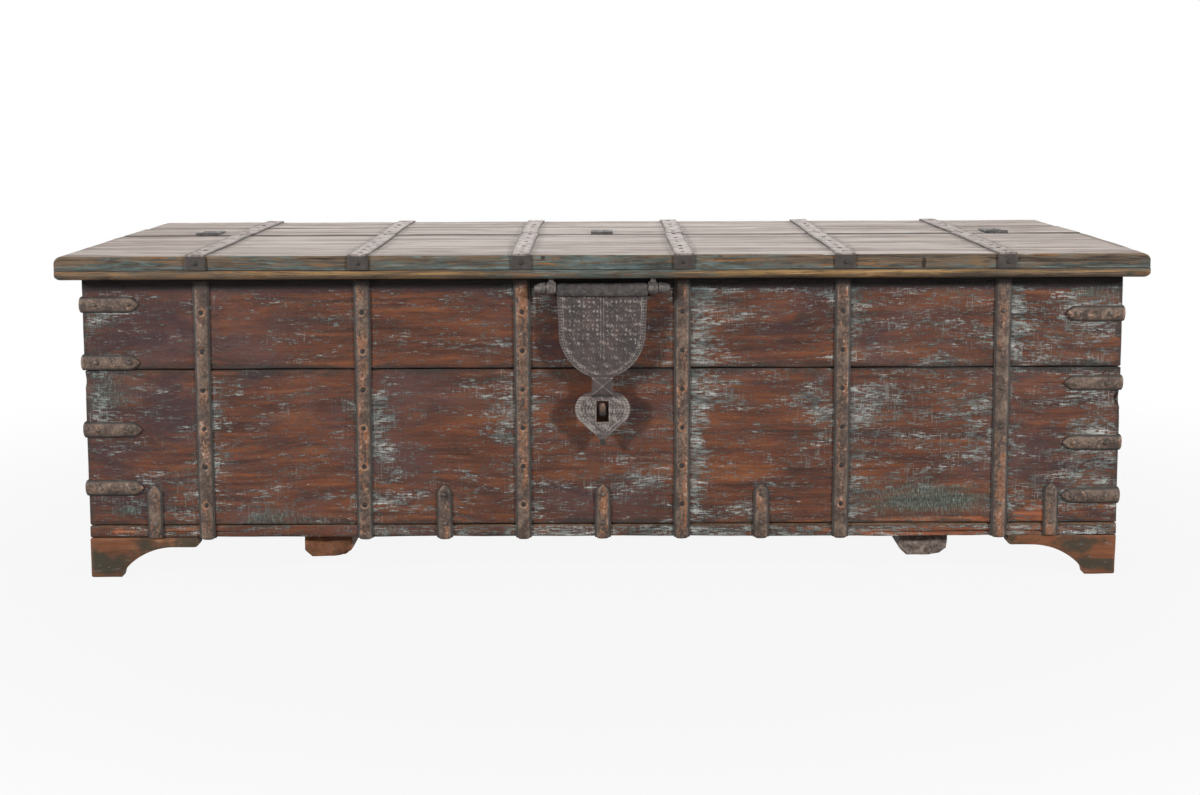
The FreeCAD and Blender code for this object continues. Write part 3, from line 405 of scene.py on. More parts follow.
def worn_box(low, high, edge, seed, step, wear=0.5, extra=((), (), ())):
    """Points p of a box lattice moved to q + r(p - q)/|p - q|, where q is the nearest point of the box
    shrunk by r, and r is the edge's radius with noise. Gives points, outward directions and quads."""
    low, high = np.array(low), np.array(high)
    edge = min(edge, 0.38 * (high - low).min())
    points, quads = lattice(*[stations(low[k], high[k], edge, step[k], extra[k]) for k in range(3)])
    radius = edge * np.clip(1 + wear * ripple(points, 0.03, seed), 0.4, 1.25)[:, None]
    heart = np.clip(points, low + radius, high - radius)
    outward = (points - heart) / np.linalg.norm(points - heart, axis=1, keepdims=True)
    return heart + radius * outward, outward, quads


def edge_share(points, low, high, reach):
    """How near a point is to an edge of its box: exp(-d/reach) of the second least distance to a side."""
    gaps = np.sort(np.minimum(points - low, high - points), axis=1)
    return np.exp(-np.maximum(gaps[:, 1], 0) / reach)


sample = worn_box((0, 0, 0), (1.5, 0.02, 0.24), edge=0.0025, seed=1, step=(0.012,) * 3)
print("a board of 1.5 x 0.02 x 0.24 m has", len(sample[0]), "points")

# %% [markdown]
# A board is a worn box with a grain. Old planks are dented, and they crack along the grain and chip at the
# edges. Each of these pushes the surface inwards only, so that a board stays inside its construction solid.
# A crack could be painted on, but its shadow would be missing, so the lattice is finer there and dips in.

# %% Boards


def grain_place(points, along, seed, waves=0.005):
    """Places for wood grain: the axis along the grain first, an offset for each board, and slow waves of
    noise across the grain, as where a tree grew round its knots."""
    order = {"x": (0, 1, 2), "y": (1, 0, 2), "z": (2, 0, 1)}[along]
    wave = waves * ripple(points, 0.11, seed + 5)[:, None] * np.array([0, 1, 1])
    return points[:, order] + wave + np.random.default_rng(seed).uniform(-5, 5, 3)


def cracked(points, outward, face, across, cracks):
    """Open cracks along X on one face. Each is (place, start, end, half width, depth); its line wanders,
    the lattice follows it, and the groove's depth is a bell across it, faded at both ends. Gives the
    points and how near each is to a crack."""
    side = ease(outward @ np.array(face, float), 0.6, 0.95)
    near = np.zeros(len(points))
    for k, (place, start, end, half, depth) in enumerate(cracks):
        wander = 0.0022 * ripple(points[:, :1], 0.16, 400 + k) * bell(points[:, across] - place, 0.016)
        gap = points[:, across] - place
        points[:, across] += wander * side
        fade = ease(points[:, 0], start, start + 0.09) * (1 - ease(points[:, 0], end - 0.09, end))
        points -= (side * fade * depth * bell(gap, half))[:, None] * np.array(face, float)
        near = np.maximum(near, side * fade * bell(gap, 2.2 * half))
    return points, near


def board(name, along, finish, edge=0.0025, step=0.012, dent=0.0006, crack_face=(0, 0, 1), cracks=(),
          chips=(), trim=(0, 0, 0, 0, 0, 0), extra=((), (), ()), reads=None, shape=None, reach=0.005):
    """A worn board in the place of its node, a little smaller by trim, with dents of noise, cracks and
    chips, and then bent by shape. Reads gives further attributes from points and outward directions."""
    seed = sum(ord(letter) * (k + 3) for k, letter in enumerate(name))
    low, high = corners_of(name)
    low, high = low + np.array(trim[:3]), high - np.array(trim[3:])
    across = 1 if crack_face[2] else 2
    extra = [list(x) for x in extra]
    for place, _, _, half, _ in cracks:
        extra[across] += [place + half * k for k in (-4, -2, -1, -0.4, 0.4, 1, 2, 4)]
    points, outward, quads = worn_box(low, high, edge, seed, (step, step, step), extra=extra)
    near_edge = edge_share(points, low, high, reach)
    points -= outward * (dent * dents(points, 0.07, seed + 1))[:, None]
    points, near_crack = cracked(points, outward, crack_face, across, cracks)
    for centre, wide, depth in chips:
        away = np.linalg.norm(points - np.array(centre), axis=1)
        rough = 1 + 0.35 * ripple(points, 0.008, seed + 2)
        points -= outward * (depth * bell(away, wide * rough))[:, None]
    attributes = {"grain": grain_place(points, along, seed), "edge": near_edge, "crack": near_crack}
    for key, rule in (reads or {}).items():
        attributes[key] = rule(points, outward)
    if shape:
        points = shape(points, low, high)
    piece(name, [part(points, quads, **attributes)], finish)


# %% [markdown]
# The walls are planks with a red-brown stain. Blue-grey paint once covered them, and is left in short
# streaks along the grain, mostly beside the iron where no hand rubbed it off. A finish could take that
# from noise alone, but then the paint would lie anywhere, so a number at each point says how much of it
# is left there, and noise breaks the rest up into streaks.

# %% Stained wood


def stained_wood():
    """Dark red-brown planks with combed streaks of blue-grey paint, green and bare patches, dark stain,
    and a near-black painted shadow under the lid.
    """
    f = Finish("stained_wood")
    grain = f.read("grain", vector=True)
    edge, paint, bare, inside = (f.read(name) for name in ("edge", "paint", "bare", "inside"))
    dark, green = f.read("dark"), f.read("green")
    fibre = f.noise(grain, (5, 150, 150), 7, 0.65, 0.4)
    figure = f.noise(grain, (2.6, 17, 17), 5, 0.62, 2.2)
    pores = f.noise(grain, (40, 1100, 1100), 3, 0.6)
    cloud = f.noise(grain, (6, 9, 9), 4, 0.6)
    wood = f.ramp(f.add((0.5, fibre), (0.5, figure)),
                  (0.33, "2a1915"), (0.45, "4f3024"), (0.53, "683d2a"), (0.60, "7c4a2e"), (0.70, "986140"))
    wood = f.over(wood, "573d3a", f.step(cloud, 0.48, 0.66), 0.8)
    stain = f.noise(grain, (9, 26, 26), 6, 0.68, 0.6)
    stained = f.step(f.add((1.0, stain), (0.20, dark)), 0.52, 0.70)
    wood = f.over(wood, "34252a", stained, 0.7)
    wood = f.over(wood, "251613", f.step(pores, 0.54, 0.70), 0.65)
    ragged = f.noise(grain, (60, 150, 150), 5, 0.7)
    bare_tone = f.ramp(fibre, (0.35, "643c29"), (0.52, "8d5034"), (0.68, "b37b59"))
    bare_share = f.step(f.add((0.4, fibre), (0.5, ragged), (0.35, bare)), 0.60, 0.70)
    wood = f.blend(bare_share, wood, bare_tone)
    streak = f.noise(grain, (66, 470, 470), 8, 0.74, 0.5)
    patch = f.noise(grain, (12, 40, 40), 5, 0.65)
    comb = f.noise(grain, (560, 130, 130), 3, 0.6)
    kept = f.add((2.2, patch), (0.55, paint), (-1.0, 1.0))
    left = f.add((1.0, streak), (0.125, f.step(kept, 0.0, 1.0)), (0.14, comb))
    paint_share = f.math("MULTIPLY", f.step(left, 0.630, 0.705), f.add((0.2, 1.0), (1.2, comb)))
    scratch = f.noise(grain, (380, 30, 30), 3, 0.55)
    scratches = f.math("MULTIPLY", f.step(scratch, 0.575, 0.65), f.step(kept, 0.05, 0.70))
    hue = f.noise(grain, (16, 80, 80), 5, 0.7)
    paint_tone = f.ramp(hue, (0.30, "3c4847"), (0.42, "626f6d"), (0.54, "999f9b"), (0.68, "d6d7d1"))
    film = f.math("MAXIMUM", f.math("MINIMUM", paint_share, 0.95), f.math("MULTIPLY", scratches, 0.50))
    colour = f.blend(film, wood, paint_tone)
    green_share = f.step(f.add((0.35, comb), (0.35, ragged), (0.80, patch), (0.34, green)), 0.87, 1.16)
    green_tone = f.ramp(comb, (0.35, "31362f"), (0.50, "4a5249"), (0.66, "828d84"))
    colour = f.over(colour, green_tone, green_share, 0.78)
    grime = f.noise(grain, (14, 40, 40), 6, 0.7)
    grime_share = f.math("MULTIPLY", f.step(f.add((0.95, grime), (0.35, edge)), 0.55, 0.74), 0.7)
    colour = f.blend(grime_share, colour, tone("2b2a27"))
    # The near-black where dark passes 1.2 is mostly the painted shadow under the lid.
    colour = f.over(colour, "15100e", f.step(dark, 1.2, 2.6), 0.88)
    plain = f.ramp(f.add((0.6, fibre), (0.4, figure)), (0.3, "4f3a2b"), (0.5, "745740"), (0.7, "94745a"))
    colour = f.blend(inside, colour, plain)
    height = f.add((0.5, fibre), (0.35, pores), (0.5, film), (0.3, figure))
    roughness = f.add((0.5, 1.0), (0.22, film), (0.2, pores))
    return f.finish(colour, roughness, height, 0.0022)


STAINED = stained_wood()

# %% [markdown]
# Four lists name the places on the front where much paint, dark stain, green paint or bare wood is left:
# the middle of each place, its reach both ways and how much. Two places in the dark list are painted shadows
# beside the hasp's shield. Each rule below turns a list into a number at every point, and the dark rule adds
# a painted shadow under the lid. Behind and on the ends the paint follows the bands and a slow noise.

# %% Where the paint is left
PAINT_LEFT = (
    (0.165, 0.39, 0.045, 0.07, 0.5), (0.140, 0.25, 0.012, 0.16, 1.5), (0.25, 0.27, 0.12, 0.03, 0.5),
    (0.32, 0.25, 0.03, 0.03, 0.7), (0.46, 0.41, 0.12, 0.05, 0.1), (0.46, 0.26, 0.12, 0.07, 0.5),
    (0.48, 0.13, 0.09, 0.035, 0.4), (0.72, 0.33, 0.05, 0.08, 0.4), (0.05, 0.15, 0.10, 0.05, 0.6),
    (-0.15, 0.28, 0.06, 0.09, 0.6), (-0.325, 0.23, 0.018, 0.09, 0.8), (-0.72, 0.27, 0.05, 0.05, 0.2),
    (-0.72, 0.40, 0.05, 0.03, 0.5), (-0.748, 0.275, 0.016, 0.04, 1.2), (-0.52, 0.13, 0.10, 0.04, 0.1),
    (-0.25, 0.12, 0.10, 0.04, 0.5), (0.613, 0.385, 0.009, 0.06, 1.5), (0.555, 0.22, 0.03, 0.05, 0.6),
    (0.23, 0.11, 0.03, 0.04, 0.6), (0.70, 0.14, 0.06, 0.05, 0.6), (-0.65, 0.12, 0.08, 0.04, 0.4),
    (-0.745, 0.388, 0.02, 0.014, 0.8), (-0.735, 0.20, 0.03, 0.02, 0.2), (0.70, 0.41, 0.06, 0.04, 0.5),
    (0.745, 0.21, 0.025, 0.06, 0.7), (-0.475, 0.13, 0.05, 0.012, 0.3),
    (-0.148, 0.215, 0.014, 0.014, 1.0), (-0.145, 0.262, 0.028, 0.022, 0.5))
# The two places at x = -0.080 and 0.080, z = 0.36, are painted shadows beside the hasp's shield.
DARK_STAIN_AND_SHADOW = (
    (-0.70, 0.39, 0.07, 0.05, 0.9), (-0.74, 0.28, 0.03, 0.05, 0.9), (-0.73, 0.17, 0.05, 0.06, 0.8),
    (-0.66, 0.25, 0.06, 0.07, 0.8), (-0.70, 0.12, 0.05, 0.03, 0.7), (0.735, 0.09, 0.04, 0.022, 0.9),
    (0.03, 0.30, 0.07, 0.03, 0.6), (0.66, 0.16, 0.10, 0.06, 0.5), (0.33, 0.38, 0.06, 0.04, 0.4),
    (-0.080, 0.36, 0.018, 0.055, 0.7), (0.080, 0.36, 0.018, 0.055, 0.7), (0.05, 0.245, 0.025, 0.035, 0.5))
GREEN_LEFT = (
    (0.49, 0.115, 0.11, 0.030, 1.35), (-0.738, 0.285, 0.04, 0.04, 0.9), (-0.47, 0.092, 0.08, 0.016, 0.9),
    (0.73, 0.428, 0.05, 0.016, 0.8), (0.105, 0.39, 0.015, 0.05, 0.5), (-0.72, 0.10, 0.04, 0.015, 0.7),
    (0.74, 0.33, 0.03, 0.015, 0.7), (-0.34, 0.20, 0.012, 0.10, 0.5))
BARE_LEFT = (
    (-0.72, 0.07, 0.03, 0.012, 0.6), (-0.62, 0.07, 0.05, 0.012, 0.7), (0.50, 0.064, 0.115, 0.009, 2.0),
    (0.50, 0.085, 0.10, 0.0045, 1.9), (0.645, 0.093, 0.026, 0.011, 2.0), (0.28, 0.072, 0.05, 0.01, 0.6),
    (0.650, 0.066, 0.034, 0.011, 1.6), (-0.1, 0.07, 0.04, 0.008, 0.5))
INNER_SKIN, INNER_WALL = 0.010, 0.030


def beside_bands(points):
    """Paint kept beside the bands: exp(-d/reach) of the distance d to a band's side, with more to the
    right of a band than to its left, and broken along the band by noise."""
    bay = points[:, 0] / BAY + 0.5
    gap = (bay - np.round(bay)) * BAY
    right_side = gap > 0
    off = np.abs(np.abs(gap) - BAND_HALF)
    broken = np.clip(0.65 + 0.9 * ripple(points * (0.2, 1, 1), 0.035, 70), 0, 1.5)
    right_half = 0.85 + 0.35 * ease(points[:, 0], -0.3, 0.15)
    return np.where(right_side, np.exp(-off / 0.020) * right_half, 0.5 * np.exp(-off / 0.008)) * broken


def beside_straps(points):
    """Paint kept along the corner straps: exp(-d/6 mm) of the distance d to a strap's side."""
    levels = np.where(points[:, :1] < 0, STRAP_Z["left"], STRAP_Z["right"])
    off = np.abs(np.abs(points[:, 2:3] - levels) - STRAP_HALF).min(1)
    return 0.7 * np.exp(-off / 0.006) * ease(np.abs(points[:, 0]), 0.672, 0.690)


def faces_front(outward):
    """1 where a surface looks to the front, and 0 where it doesn't."""
    return ease(-outward[:, 1], 0.3, 0.8)


def lifted(points, lift):
    """Points moved up by a height each."""
    return points + lift[:, None] * np.array([0.0, 0, 1])


def patches(points, places):
    """The sum of bells at places given by their middle, their reach along X and Z and their strength."""
    x, z = points[:, 0:1], points[:, 2:3]
    cx, cz, rx, rz, much = np.array(places).T
    return (much * np.exp(-((x - cx) / rx) ** 2 - ((z - cz) / rz) ** 2)).sum(1)


def paint_left(points, outward):
    """Paint that is left: the listed places on the front, and beside bands and slow noise all round."""
    slow = 0.25 + 0.35 * ripple(points, 0.2, 77)
    front = faces_front(outward)
    more_at_right = 0.12 * ease(points[:, 0], -0.2, 0.2)
    listed = patches(points, PAINT_LEFT) + more_at_right
    return 0.9 * beside_bands(points) + beside_straps(points) + front * listed + (1 - 0.6 * front) * slow


def strip_paint(points, outward):
    """Paint on the edge of the bottom, which was rubbed less than the walls."""
    return 0.45 + 0.7 * bell(points[:, 0] - 0.12, 0.30) + paint_left(points, outward)


def bare_left(points, outward):
    """Wood with no stain left, along the lower edge of the front."""
    return faces_front(outward) * patches(points, BARE_LEFT)


def green_left(points, outward):
    """Old green-grey paint, combed upright, at its places on the front."""
    return faces_front(outward) * patches(points, GREEN_LEFT)


def dark_stain_and_shadow(points, outward):
    """Dark purple stain on the front, with painted shadows beside the hasp's shield, a little stain by slow
    noise elsewhere, and a painted shadow under the lid.
    """
    front = faces_front(outward)
    # Painted shadow of the lid: strong dark along the top of every wall, from 430.5 mm up to 439.5 mm.
    lid_shadow = 3.0 * ease(points[:, 2], 0.4305, 0.4395)
    elsewhere = (0.3 + 0.4 * ripple(points, 0.15, 78)).clip(0)
    return lid_shadow + front * patches(points, DARK_STAIN_AND_SHADOW) + (1 - front) * elsewhere


def faces_in(points, outward):
    """1 on the faces that look into the trunk."""
    place, limit = points[:, :2], np.array([END_X, FACE_Y])
    inner = (np.abs(place) < limit - INNER_SKIN).all(1)
    in_wall = np.abs(place) > limit - INNER_WALL
    return inner * np.clip(-(outward[:, :2] * np.sign(place) * in_wall).sum(1), 0, 1)


def floor_in(points, outward):
    """1 on the bottom's upper face, which is the floor of the trunk."""
    return np.clip(outward[:, 2], 0, 1)


print(len(PAINT_LEFT) + len(DARK_STAIN_AND_SHADOW) + len(GREEN_LEFT) + len(BARE_LEFT), "places on the front")

# %% [markdown]
# Here the walls and the bottom get their surfaces. A joiner nails two wide planks to each side and lays the
# bottom under them, so each is a board of its own with its own grain. The lower front board has lost a
# corner at its right end and has a few gouges, and the lattice is finer there and beside the bands.

# %% Walls and bottom
WALL_READS = {"paint": paint_left, "bare": bare_left, "green": green_left, "dark": dark_stain_and_shadow,
              "inside": faces_in}
FRONT_CRACKS = ((0.262, -0.70, -0.63, 0.0012, 0.002), (0.291, 0.60, 0.74, 0.0010, 0.002),
                (0.186, -0.30, -0.12, 0.0008, 0.0012), (0.138, 0.2, 0.36, 0.0008, 0.0012))
NOTCH = [0.25 + 0.003 * k for k in range(12)]
UPPER_CRACKS = ((0.401, -0.5, -0.36, 0.0009, 0.0012),)
BOTTOM_CRACKS = ((0.069, 0.36, 0.74, 0.0012, 0.003), (0.070, -0.72, -0.5, 0.0008, 0.002))
CHIPS = (((END_X, -FACE_Y, 0.268), 0.011, 0.006), ((-END_X, -FACE_Y, 0.30), 0.012, 0.002))
BESIDE = [x + gap for x in BAND_X for gap in (-0.026, -0.018, -0.0125, 0.0125, 0.018, 0.026, 0.036)]
for level in ("lower", "upper"):
    lower = level == "lower"
    board(f"front_{level}_board", "x", STAINED, step=0.010, crack_face=TO_FRONT, reads=WALL_READS,
          cracks=FRONT_CRACKS if lower else UPPER_CRACKS, chips=CHIPS if lower else (),
          extra=(BESIDE, (), NOTCH if lower else ()), trim=(0.001, 0, 0.0005, 0.0005, 0, 0.0005))
    board(f"back_{level}_board", "x", STAINED, crack_face=TO_BACK, reads=WALL_READS,
          cracks=((0.2 if lower else 0.39, -0.4, 0.1, 0.0009, 0.0014),),
          trim=(0.0005, 0, 0.0005, 0.001, 0, 0.0005))
    for side_name, _ in SIDES:
        board(f"{side_name}_{level}_board", "y", STAINED, reads=WALL_READS)
for strip in ("front", "middle", "rear"):
    board(f"bottom_{strip}_board", "x", STAINED, edge=0.003, dent=0.001, reach=0.0025,
          crack_face=TO_FRONT, cracks=BOTTOM_CRACKS if strip == "front" else (),
          reads={**WALL_READS, "paint": strip_paint, "inside": floor_in})

# %% [markdown]
# The lid's boards are bleached on top and keep some paint on their edges. One finish does both: a number
# at each point tells the scrubbed top from the painted edge. The moulding under them is the same painted
# wood with more ochre and turquoise, so both share a recipe.

# %% Lid wood


def painted_edge(f, grain, paint, ochre):
    """Grey-brown wood with orange streaks, under remnants of blue-green paint. Gives the colour,
    the film of paint and the fibre."""
    fibre = f.noise(grain, (3.5, 230, 230), 6, 0.65, 0.3)
    slow = f.noise(grain, (9, 110, 110), 4, 0.6)
    wood = f.ramp(f.add((0.6, fibre), (0.4, slow)), (0.36, "2b241f"), (0.45, "5b4d40"), (0.53, "74614e"),
                  (0.60, "8f6238"), (0.69, "b97d45"))
    gold = f.ramp(fibre, (0.34, "5d4c2f"), (0.5, "957449"), (0.64, "b8966a"))
    wood = f.blend(f.step(f.add((0.55, slow), (0.42, ochre)), 0.50, 0.68), wood, gold)
    streak = f.noise(grain, (20, 430, 430), 6, 0.72, 0.2)
    share = f.step(f.add((0.75, streak), (0.25, slow), (0.13, paint)), 0.555, 0.635)
    hue = f.noise(grain, (12, 120, 120), 5, 0.65)
    film_tone = f.ramp(hue, (0.32, "334041"), (0.44, "495958"), (0.55, "5d706f"), (0.68, "899794"))
    film = f.math("MULTIPLY", share, 0.8)
    colour = f.blend(film, wood, film_tone)
    dirt = f.noise(grain, (22, 160, 160), 5, 0.7)
    return f.over(colour, "2b2621", f.step(dirt, 0.50, 0.66), 0.6), film, fibre


def worn_top_wood():
    """Bleached boards with fine grain and dark checks, painted on their edges."""
    f = Finish("worn_top_wood")
    grain = f.read("grain", vector=True)
    fascia, paint, crack = (f.read(name) for name in ("fascia", "paint", "crack"))
    inside, seam = f.read("inside"), f.read("seam")
    painted, film, _ = painted_edge(f, grain, paint, 0.0)
    fibre = f.noise(grain, (3.0, 190, 190), 7, 0.66, 0.25)
    broad = f.noise(grain, (1.6, 24, 24), 4, 0.55, 0.8)
    top = f.ramp(f.add((0.6, fibre), (0.4, broad)), (0.32, "63564e"), (0.42, "958880"), (0.52, "b6aba4"),
                 (0.66, "d8cfc8"))
    checks = f.noise(grain, (1.5, 95, 95), 4, 0.55, 0.2)
    check_share = f.math("MAXIMUM", f.math("MULTIPLY", f.step(checks, 0.59, 0.655), 0.82), crack)
    top = f.over(top, "453a34", check_share, 0.9)
    stain = f.noise(grain, (7, 18, 18), 5, 0.65)
    top = f.over(top, "7e6f66", f.step(stain, 0.50, 0.68), 0.5)
    colour = f.blend(fascia, top, painted)
    colour = f.over(colour, "2e2420", f.step(seam, 0.20, 0.70), 0.92)
    under = f.ramp(f.add((0.5, fibre), (0.5, broad)), (0.32, "4a3727"), (0.48, "6d543e"), (0.62, "8a6d52"))
    colour = f.blend(inside, colour, under)
    height = f.add((0.6, fibre), (-0.8, check_share), (0.35, film))
    roughness = f.add((0.72, 1.0), (0.12, fibre))
    return f.finish(colour, roughness, height, 0.0012)


def lid_edge_wood():
    """The moulding: ochre and turquoise paint on rubbed wood."""
    f = Finish("lid_edge_wood")
    grain = f.read("grain", vector=True)
    edge, paint, ochre = (f.read(name) for name in ("edge", "paint", "ochre"))
    colour, film, fibre = painted_edge(f, grain, paint, ochre)
    colour = f.over(colour, "2c2620", f.step(edge, 0.5, 1.0), 0.2)
    height = f.add((0.6, fibre), (0.4, film))
    return f.finish(colour, f.add((0.55, 1.0), (0.2, film)), height, 0.0012)


def bare_wood():
    """Rough sawn timber inside the lid."""
    f = Finish("bare_wood")
    grain = f.read("grain", vector=True)
    edge = f.read("edge")
    fibre = f.noise(grain, (4, 150, 150), 6, 0.62, 0.3)
    broad = f.noise(grain, (2, 20, 20), 4, 0.55, 0.8)
    saw = f.noise(grain, (420, 12, 12), 3, 0.5)
    colour = f.ramp(f.add((0.5, fibre), (0.5, broad)), (0.30, "54402f"), (0.46, "7b6049"), (0.58, "967a5f"),
                    (0.72, "b09678"))
    colour = f.over(colour, "43342a", f.step(edge, 0.4, 1.0), 0.4)
    height = f.add((0.5, fibre), (0.4, saw))
    return f.finish(colour, f.add((0.75, 1.0), (0.1, fibre)), height, 0.0012)


TOP = worn_top_wood()
LID_EDGE = lid_edge_wood()
BARE = bare_wood()

# %% [markdown]
# The lid wears in its own way: paint stays on the edges, dirt gathers in the seams and the corners are
# rounded by use. These rules give the numbers for that, and the rounding is a move of the finished lattice,
# so that grain and dents follow the curve.

# %% Wear of the lid
LID_REACH = corners_of("flap_front_board")[1][0]
SEAM_LINES = (corners_of("flap_front_board")[1][1], SEAM_Y, corners_of("fixed_front_board")[1][1])
SEAM_DIRT, SEAM_REACH = np.array([0.62, 1.15, 0.62]), np.array([0.004, 0.009, 0.004])
EDGE_MARKS = ((0.469, 0.475, 0.0035, 0.011, 1.1), (-0.086, 0.485, 0.0045, 0.005, 0.9),
              (-0.713, 0.472, 0.005, 0.006, 0.6))


def fascia_share(points, outward):
    """1 on the edges of the lid and on their rounded tops, 0 on the rest of the top."""
    round_front = ease(np.abs(points[:, 1]), 0.3266, 0.3282)
    round_end = ease(np.abs(points[:, 0]), LID_REACH - 0.0075, LID_REACH - 0.0045)
    return np.maximum(1 - ease(outward[:, 2], 0.25, 0.75), np.maximum(round_front, round_end))


def lid_under(points, outward):
    """1 on the underside of the lid, which is bare."""
    return ease(-outward[:, 2], 0.4, 0.9)


def fascia_paint(points, outward):
    """Paint left on the lid's edge: most in the middle and near the ends, and by slow noise elsewhere."""
    along = 0.65 * bell(points[:, 0] - 0.02, 0.22) + 0.25 + 0.35 * ripple(points, 0.10, 31)
    along = along + 0.45 * bell(points[:, 0] + 0.72, 0.14) + 0.40 * bell(points[:, 0] - 0.66, 0.20)
    return along + 0.75 * ease(points[:, 2], 0.482, 0.468) - 0.15


def lid_seams(points, outward):
    """Dirt in the seams between the lid's boards, exp(-d/reach) of the distance to each, with the most in
    the seam that opens, and in a few dents of the front edge."""
    off = np.abs(points[:, 1:2] - np.array(SEAM_LINES))
    dirt = (SEAM_DIRT * np.exp(-off / SEAM_REACH)).max(1)
    marks = patches(points, EDGE_MARKS) * faces_front(outward)
    return dirt * ease(outward[:, 2], 0.2, 0.6) + marks


def rounded(sides, upper):
    """Round the upper or the lower edges along some sides, each (axis, end, radius r). The surface moves by
    r - sqrt(r^2 - q^2), where q runs from 0 at a distance r from the side to r at the side, and the move
    fades to nothing at the opposite face."""
    def shape(points, low, high):
        move = np.zeros(len(points))
        for axis, end, r in sides:
            gap = (points[:, axis] - low[axis]) if end < 0 else (high[axis] - points[:, axis])
            move = np.maximum(move, r - np.sqrt(r ** 2 - np.clip(r - gap, 0, r) ** 2))
        share = (points[:, 2] - low[2]) / (high[2] - low[2])
        return lifted(points, -move * share if upper else move * (1 - share))
    return shape


def close_to(sides, low, high):
    """Extra stations for a lattice near the sides that are rounded."""
    close = [[], [], []]
    for axis, end, r in sides:
        gaps = r * np.array([0.06, 0.18, 0.35, 0.55, 0.78, 1.0])
        close[axis] += list(low[axis] + gaps if end < 0 else high[axis] - gaps)
    return close


print("seams at y =", [round(float(y), 4) for y in SEAM_LINES])

# %% [markdown]
# The lid has a front flap of two boards and a fixed rear top of two more. Long checks have opened along
# the grain, and the boards' ends are no longer in line, so each board is trimmed by a different amount. The
# flap lies a little lower than the fixed top, which shows the seam.

# %% Lid boards
END_ROUND, LONG_ROUND = 0.012, 0.003
FLAP_SIDES = ((1, -1, LONG_ROUND), (0, -1, END_ROUND), (0, 1, END_ROUND))
REAR_SIDES = ((1, 1, LONG_ROUND), (0, -1, END_ROUND), (0, 1, END_ROUND))
LID_READS = {"fascia": fascia_share, "paint": fascia_paint, "inside": lid_under, "seam": lid_seams}
flap_close = close_to(FLAP_SIDES, *corners_of("flap_front_board"))
flap_close[0] += [mark[0] + 0.0022 * k for mark in EDGE_MARKS for k in range(-4, 5)]
LID_BOARDS = {
    "flap_front_board": dict(
        edge=0.0014, shape=rounded(FLAP_SIDES, True), extra=flap_close,
        cracks=((-0.279, -0.55, 0.10, 0.0011, 0.004), (-0.262, 0.30, 0.70, 0.0009, 0.003)),
        chips=[((x, -LID_Y, LID_TOP), wide, deep) for x, wide, deep in (
            (-0.12, 0.010, 0.0025), (0.33, 0.008, 0.002), (-0.71, 0.012, 0.002), (0.62, 0.009, 0.002))]),
    "flap_main_board": dict(
        edge=0.0030, trim=(0.003, 0.0006, 0, 0.002, 0, 0.0009),
        cracks=((-0.172, -0.79, 0.62, 0.0012, 0.005), (-0.118, -0.2, 0.79, 0.0010, 0.004),
                (-0.048, -0.7, -0.1, 0.0009, 0.0035), (-0.012, 0.15, 0.5, 0.0008, 0.003))),
    "fixed_front_board": dict(
        edge=0.0030, trim=(0.006, 0, 0, 0.004, 0.0006, 0.0004),
        cracks=((0.098, -0.6, 0.2, 0.0010, 0.004), (0.142, 0.05, 0.78, 0.0010, 0.004))),
    "fixed_rear_board": dict(
        edge=0.0014, trim=(0.003, 0, 0, 0.004, 0, 0.0002), shape=rounded(REAR_SIDES, True),
        extra=close_to(REAR_SIDES, *corners_of("fixed_rear_board")),
        cracks=((0.262, -0.75, -0.1, 0.0010, 0.004), (0.235, 0.2, 0.6, 0.0008, 0.003)))}
for name, worn in LID_BOARDS.items():
    board(name, "x", TOP, dent=0.0008, reads=LID_READS, **worn)

# %% [markdown]
# The moulding under the boards is rounded along its outer lower edge, a quarter of a circle, by the same
# rule as the ends of the boards. A line of ochre runs along its front. The rail under the fixed top, which
# carries the hinges, is plain sawn timber.

# %% Mouldings


def bead_ochre(points, outward):
    """Ochre on the moulding: a line along its front, strong on both sides of the middle and weak in it."""
    x = points[:, 0]
    along = 0.55 * bell(x - 0.40, 0.40) + 0.60 * bell(x + 0.33, 0.22) + 0.40 + 0.35 * ripple(points, 0.12, 52)
    along *= 1 - 0.75 * bell(x + 0.01, 0.13)
    return along * bell(points[:, 2] - 0.4578, 0.0062) + 0.16


def bead_paint(points, outward):
    """Turquoise on the moulding: strongest in the middle."""
    along = 2.0 * bell(points[:, 0] + 0.01, 0.15) + 0.3 + 0.5 * ripple(points, 0.14, 53)
    return along * (0.4 + 0.6 * ease(points[:, 2], 0.460, 0.465))


BEAD_READS = {"paint": bead_paint, "ochre": bead_ochre}
ROUND, BEAD_LOW = 0.009, 0.452
for name, ends in (("flap_front_moulding", ((1, -1), (0, -1), (0, 1))),
                   ("fixed_rear_moulding", ((1, 1), (0, -1), (0, 1))),
                   ("flap_left_moulding", ((0, -1),)), ("flap_right_moulding", ((0, 1),)),
                   ("fixed_left_moulding", ((0, -1),)), ("fixed_right_moulding", ((0, 1),))):
    sides = [(axis, end, ROUND) for axis, end in ends]
    extra = close_to(sides, *corners_of(name))
    extra[2] += list(BEAD_LOW + 0.002 * np.arange(1, 7))
    board(name, "y" if "left" in name or "right" in name else "x", LID_EDGE, edge=0.0009,
          dent=0.0005, extra=extra, reads=BEAD_READS, shape=rounded(sides, False), reach=0.003)
board("fixed_top_rail", "x", BARE, edge=0.003)

# %% [markdown]
# Under the flap, three battens hold its two boards together, as on most plank lids. They are out of sight
# in the photograph, so they are plain sawn timber. One rounded box of lattice points makes each of them,
# and the three shells share one mesh because they never move apart.

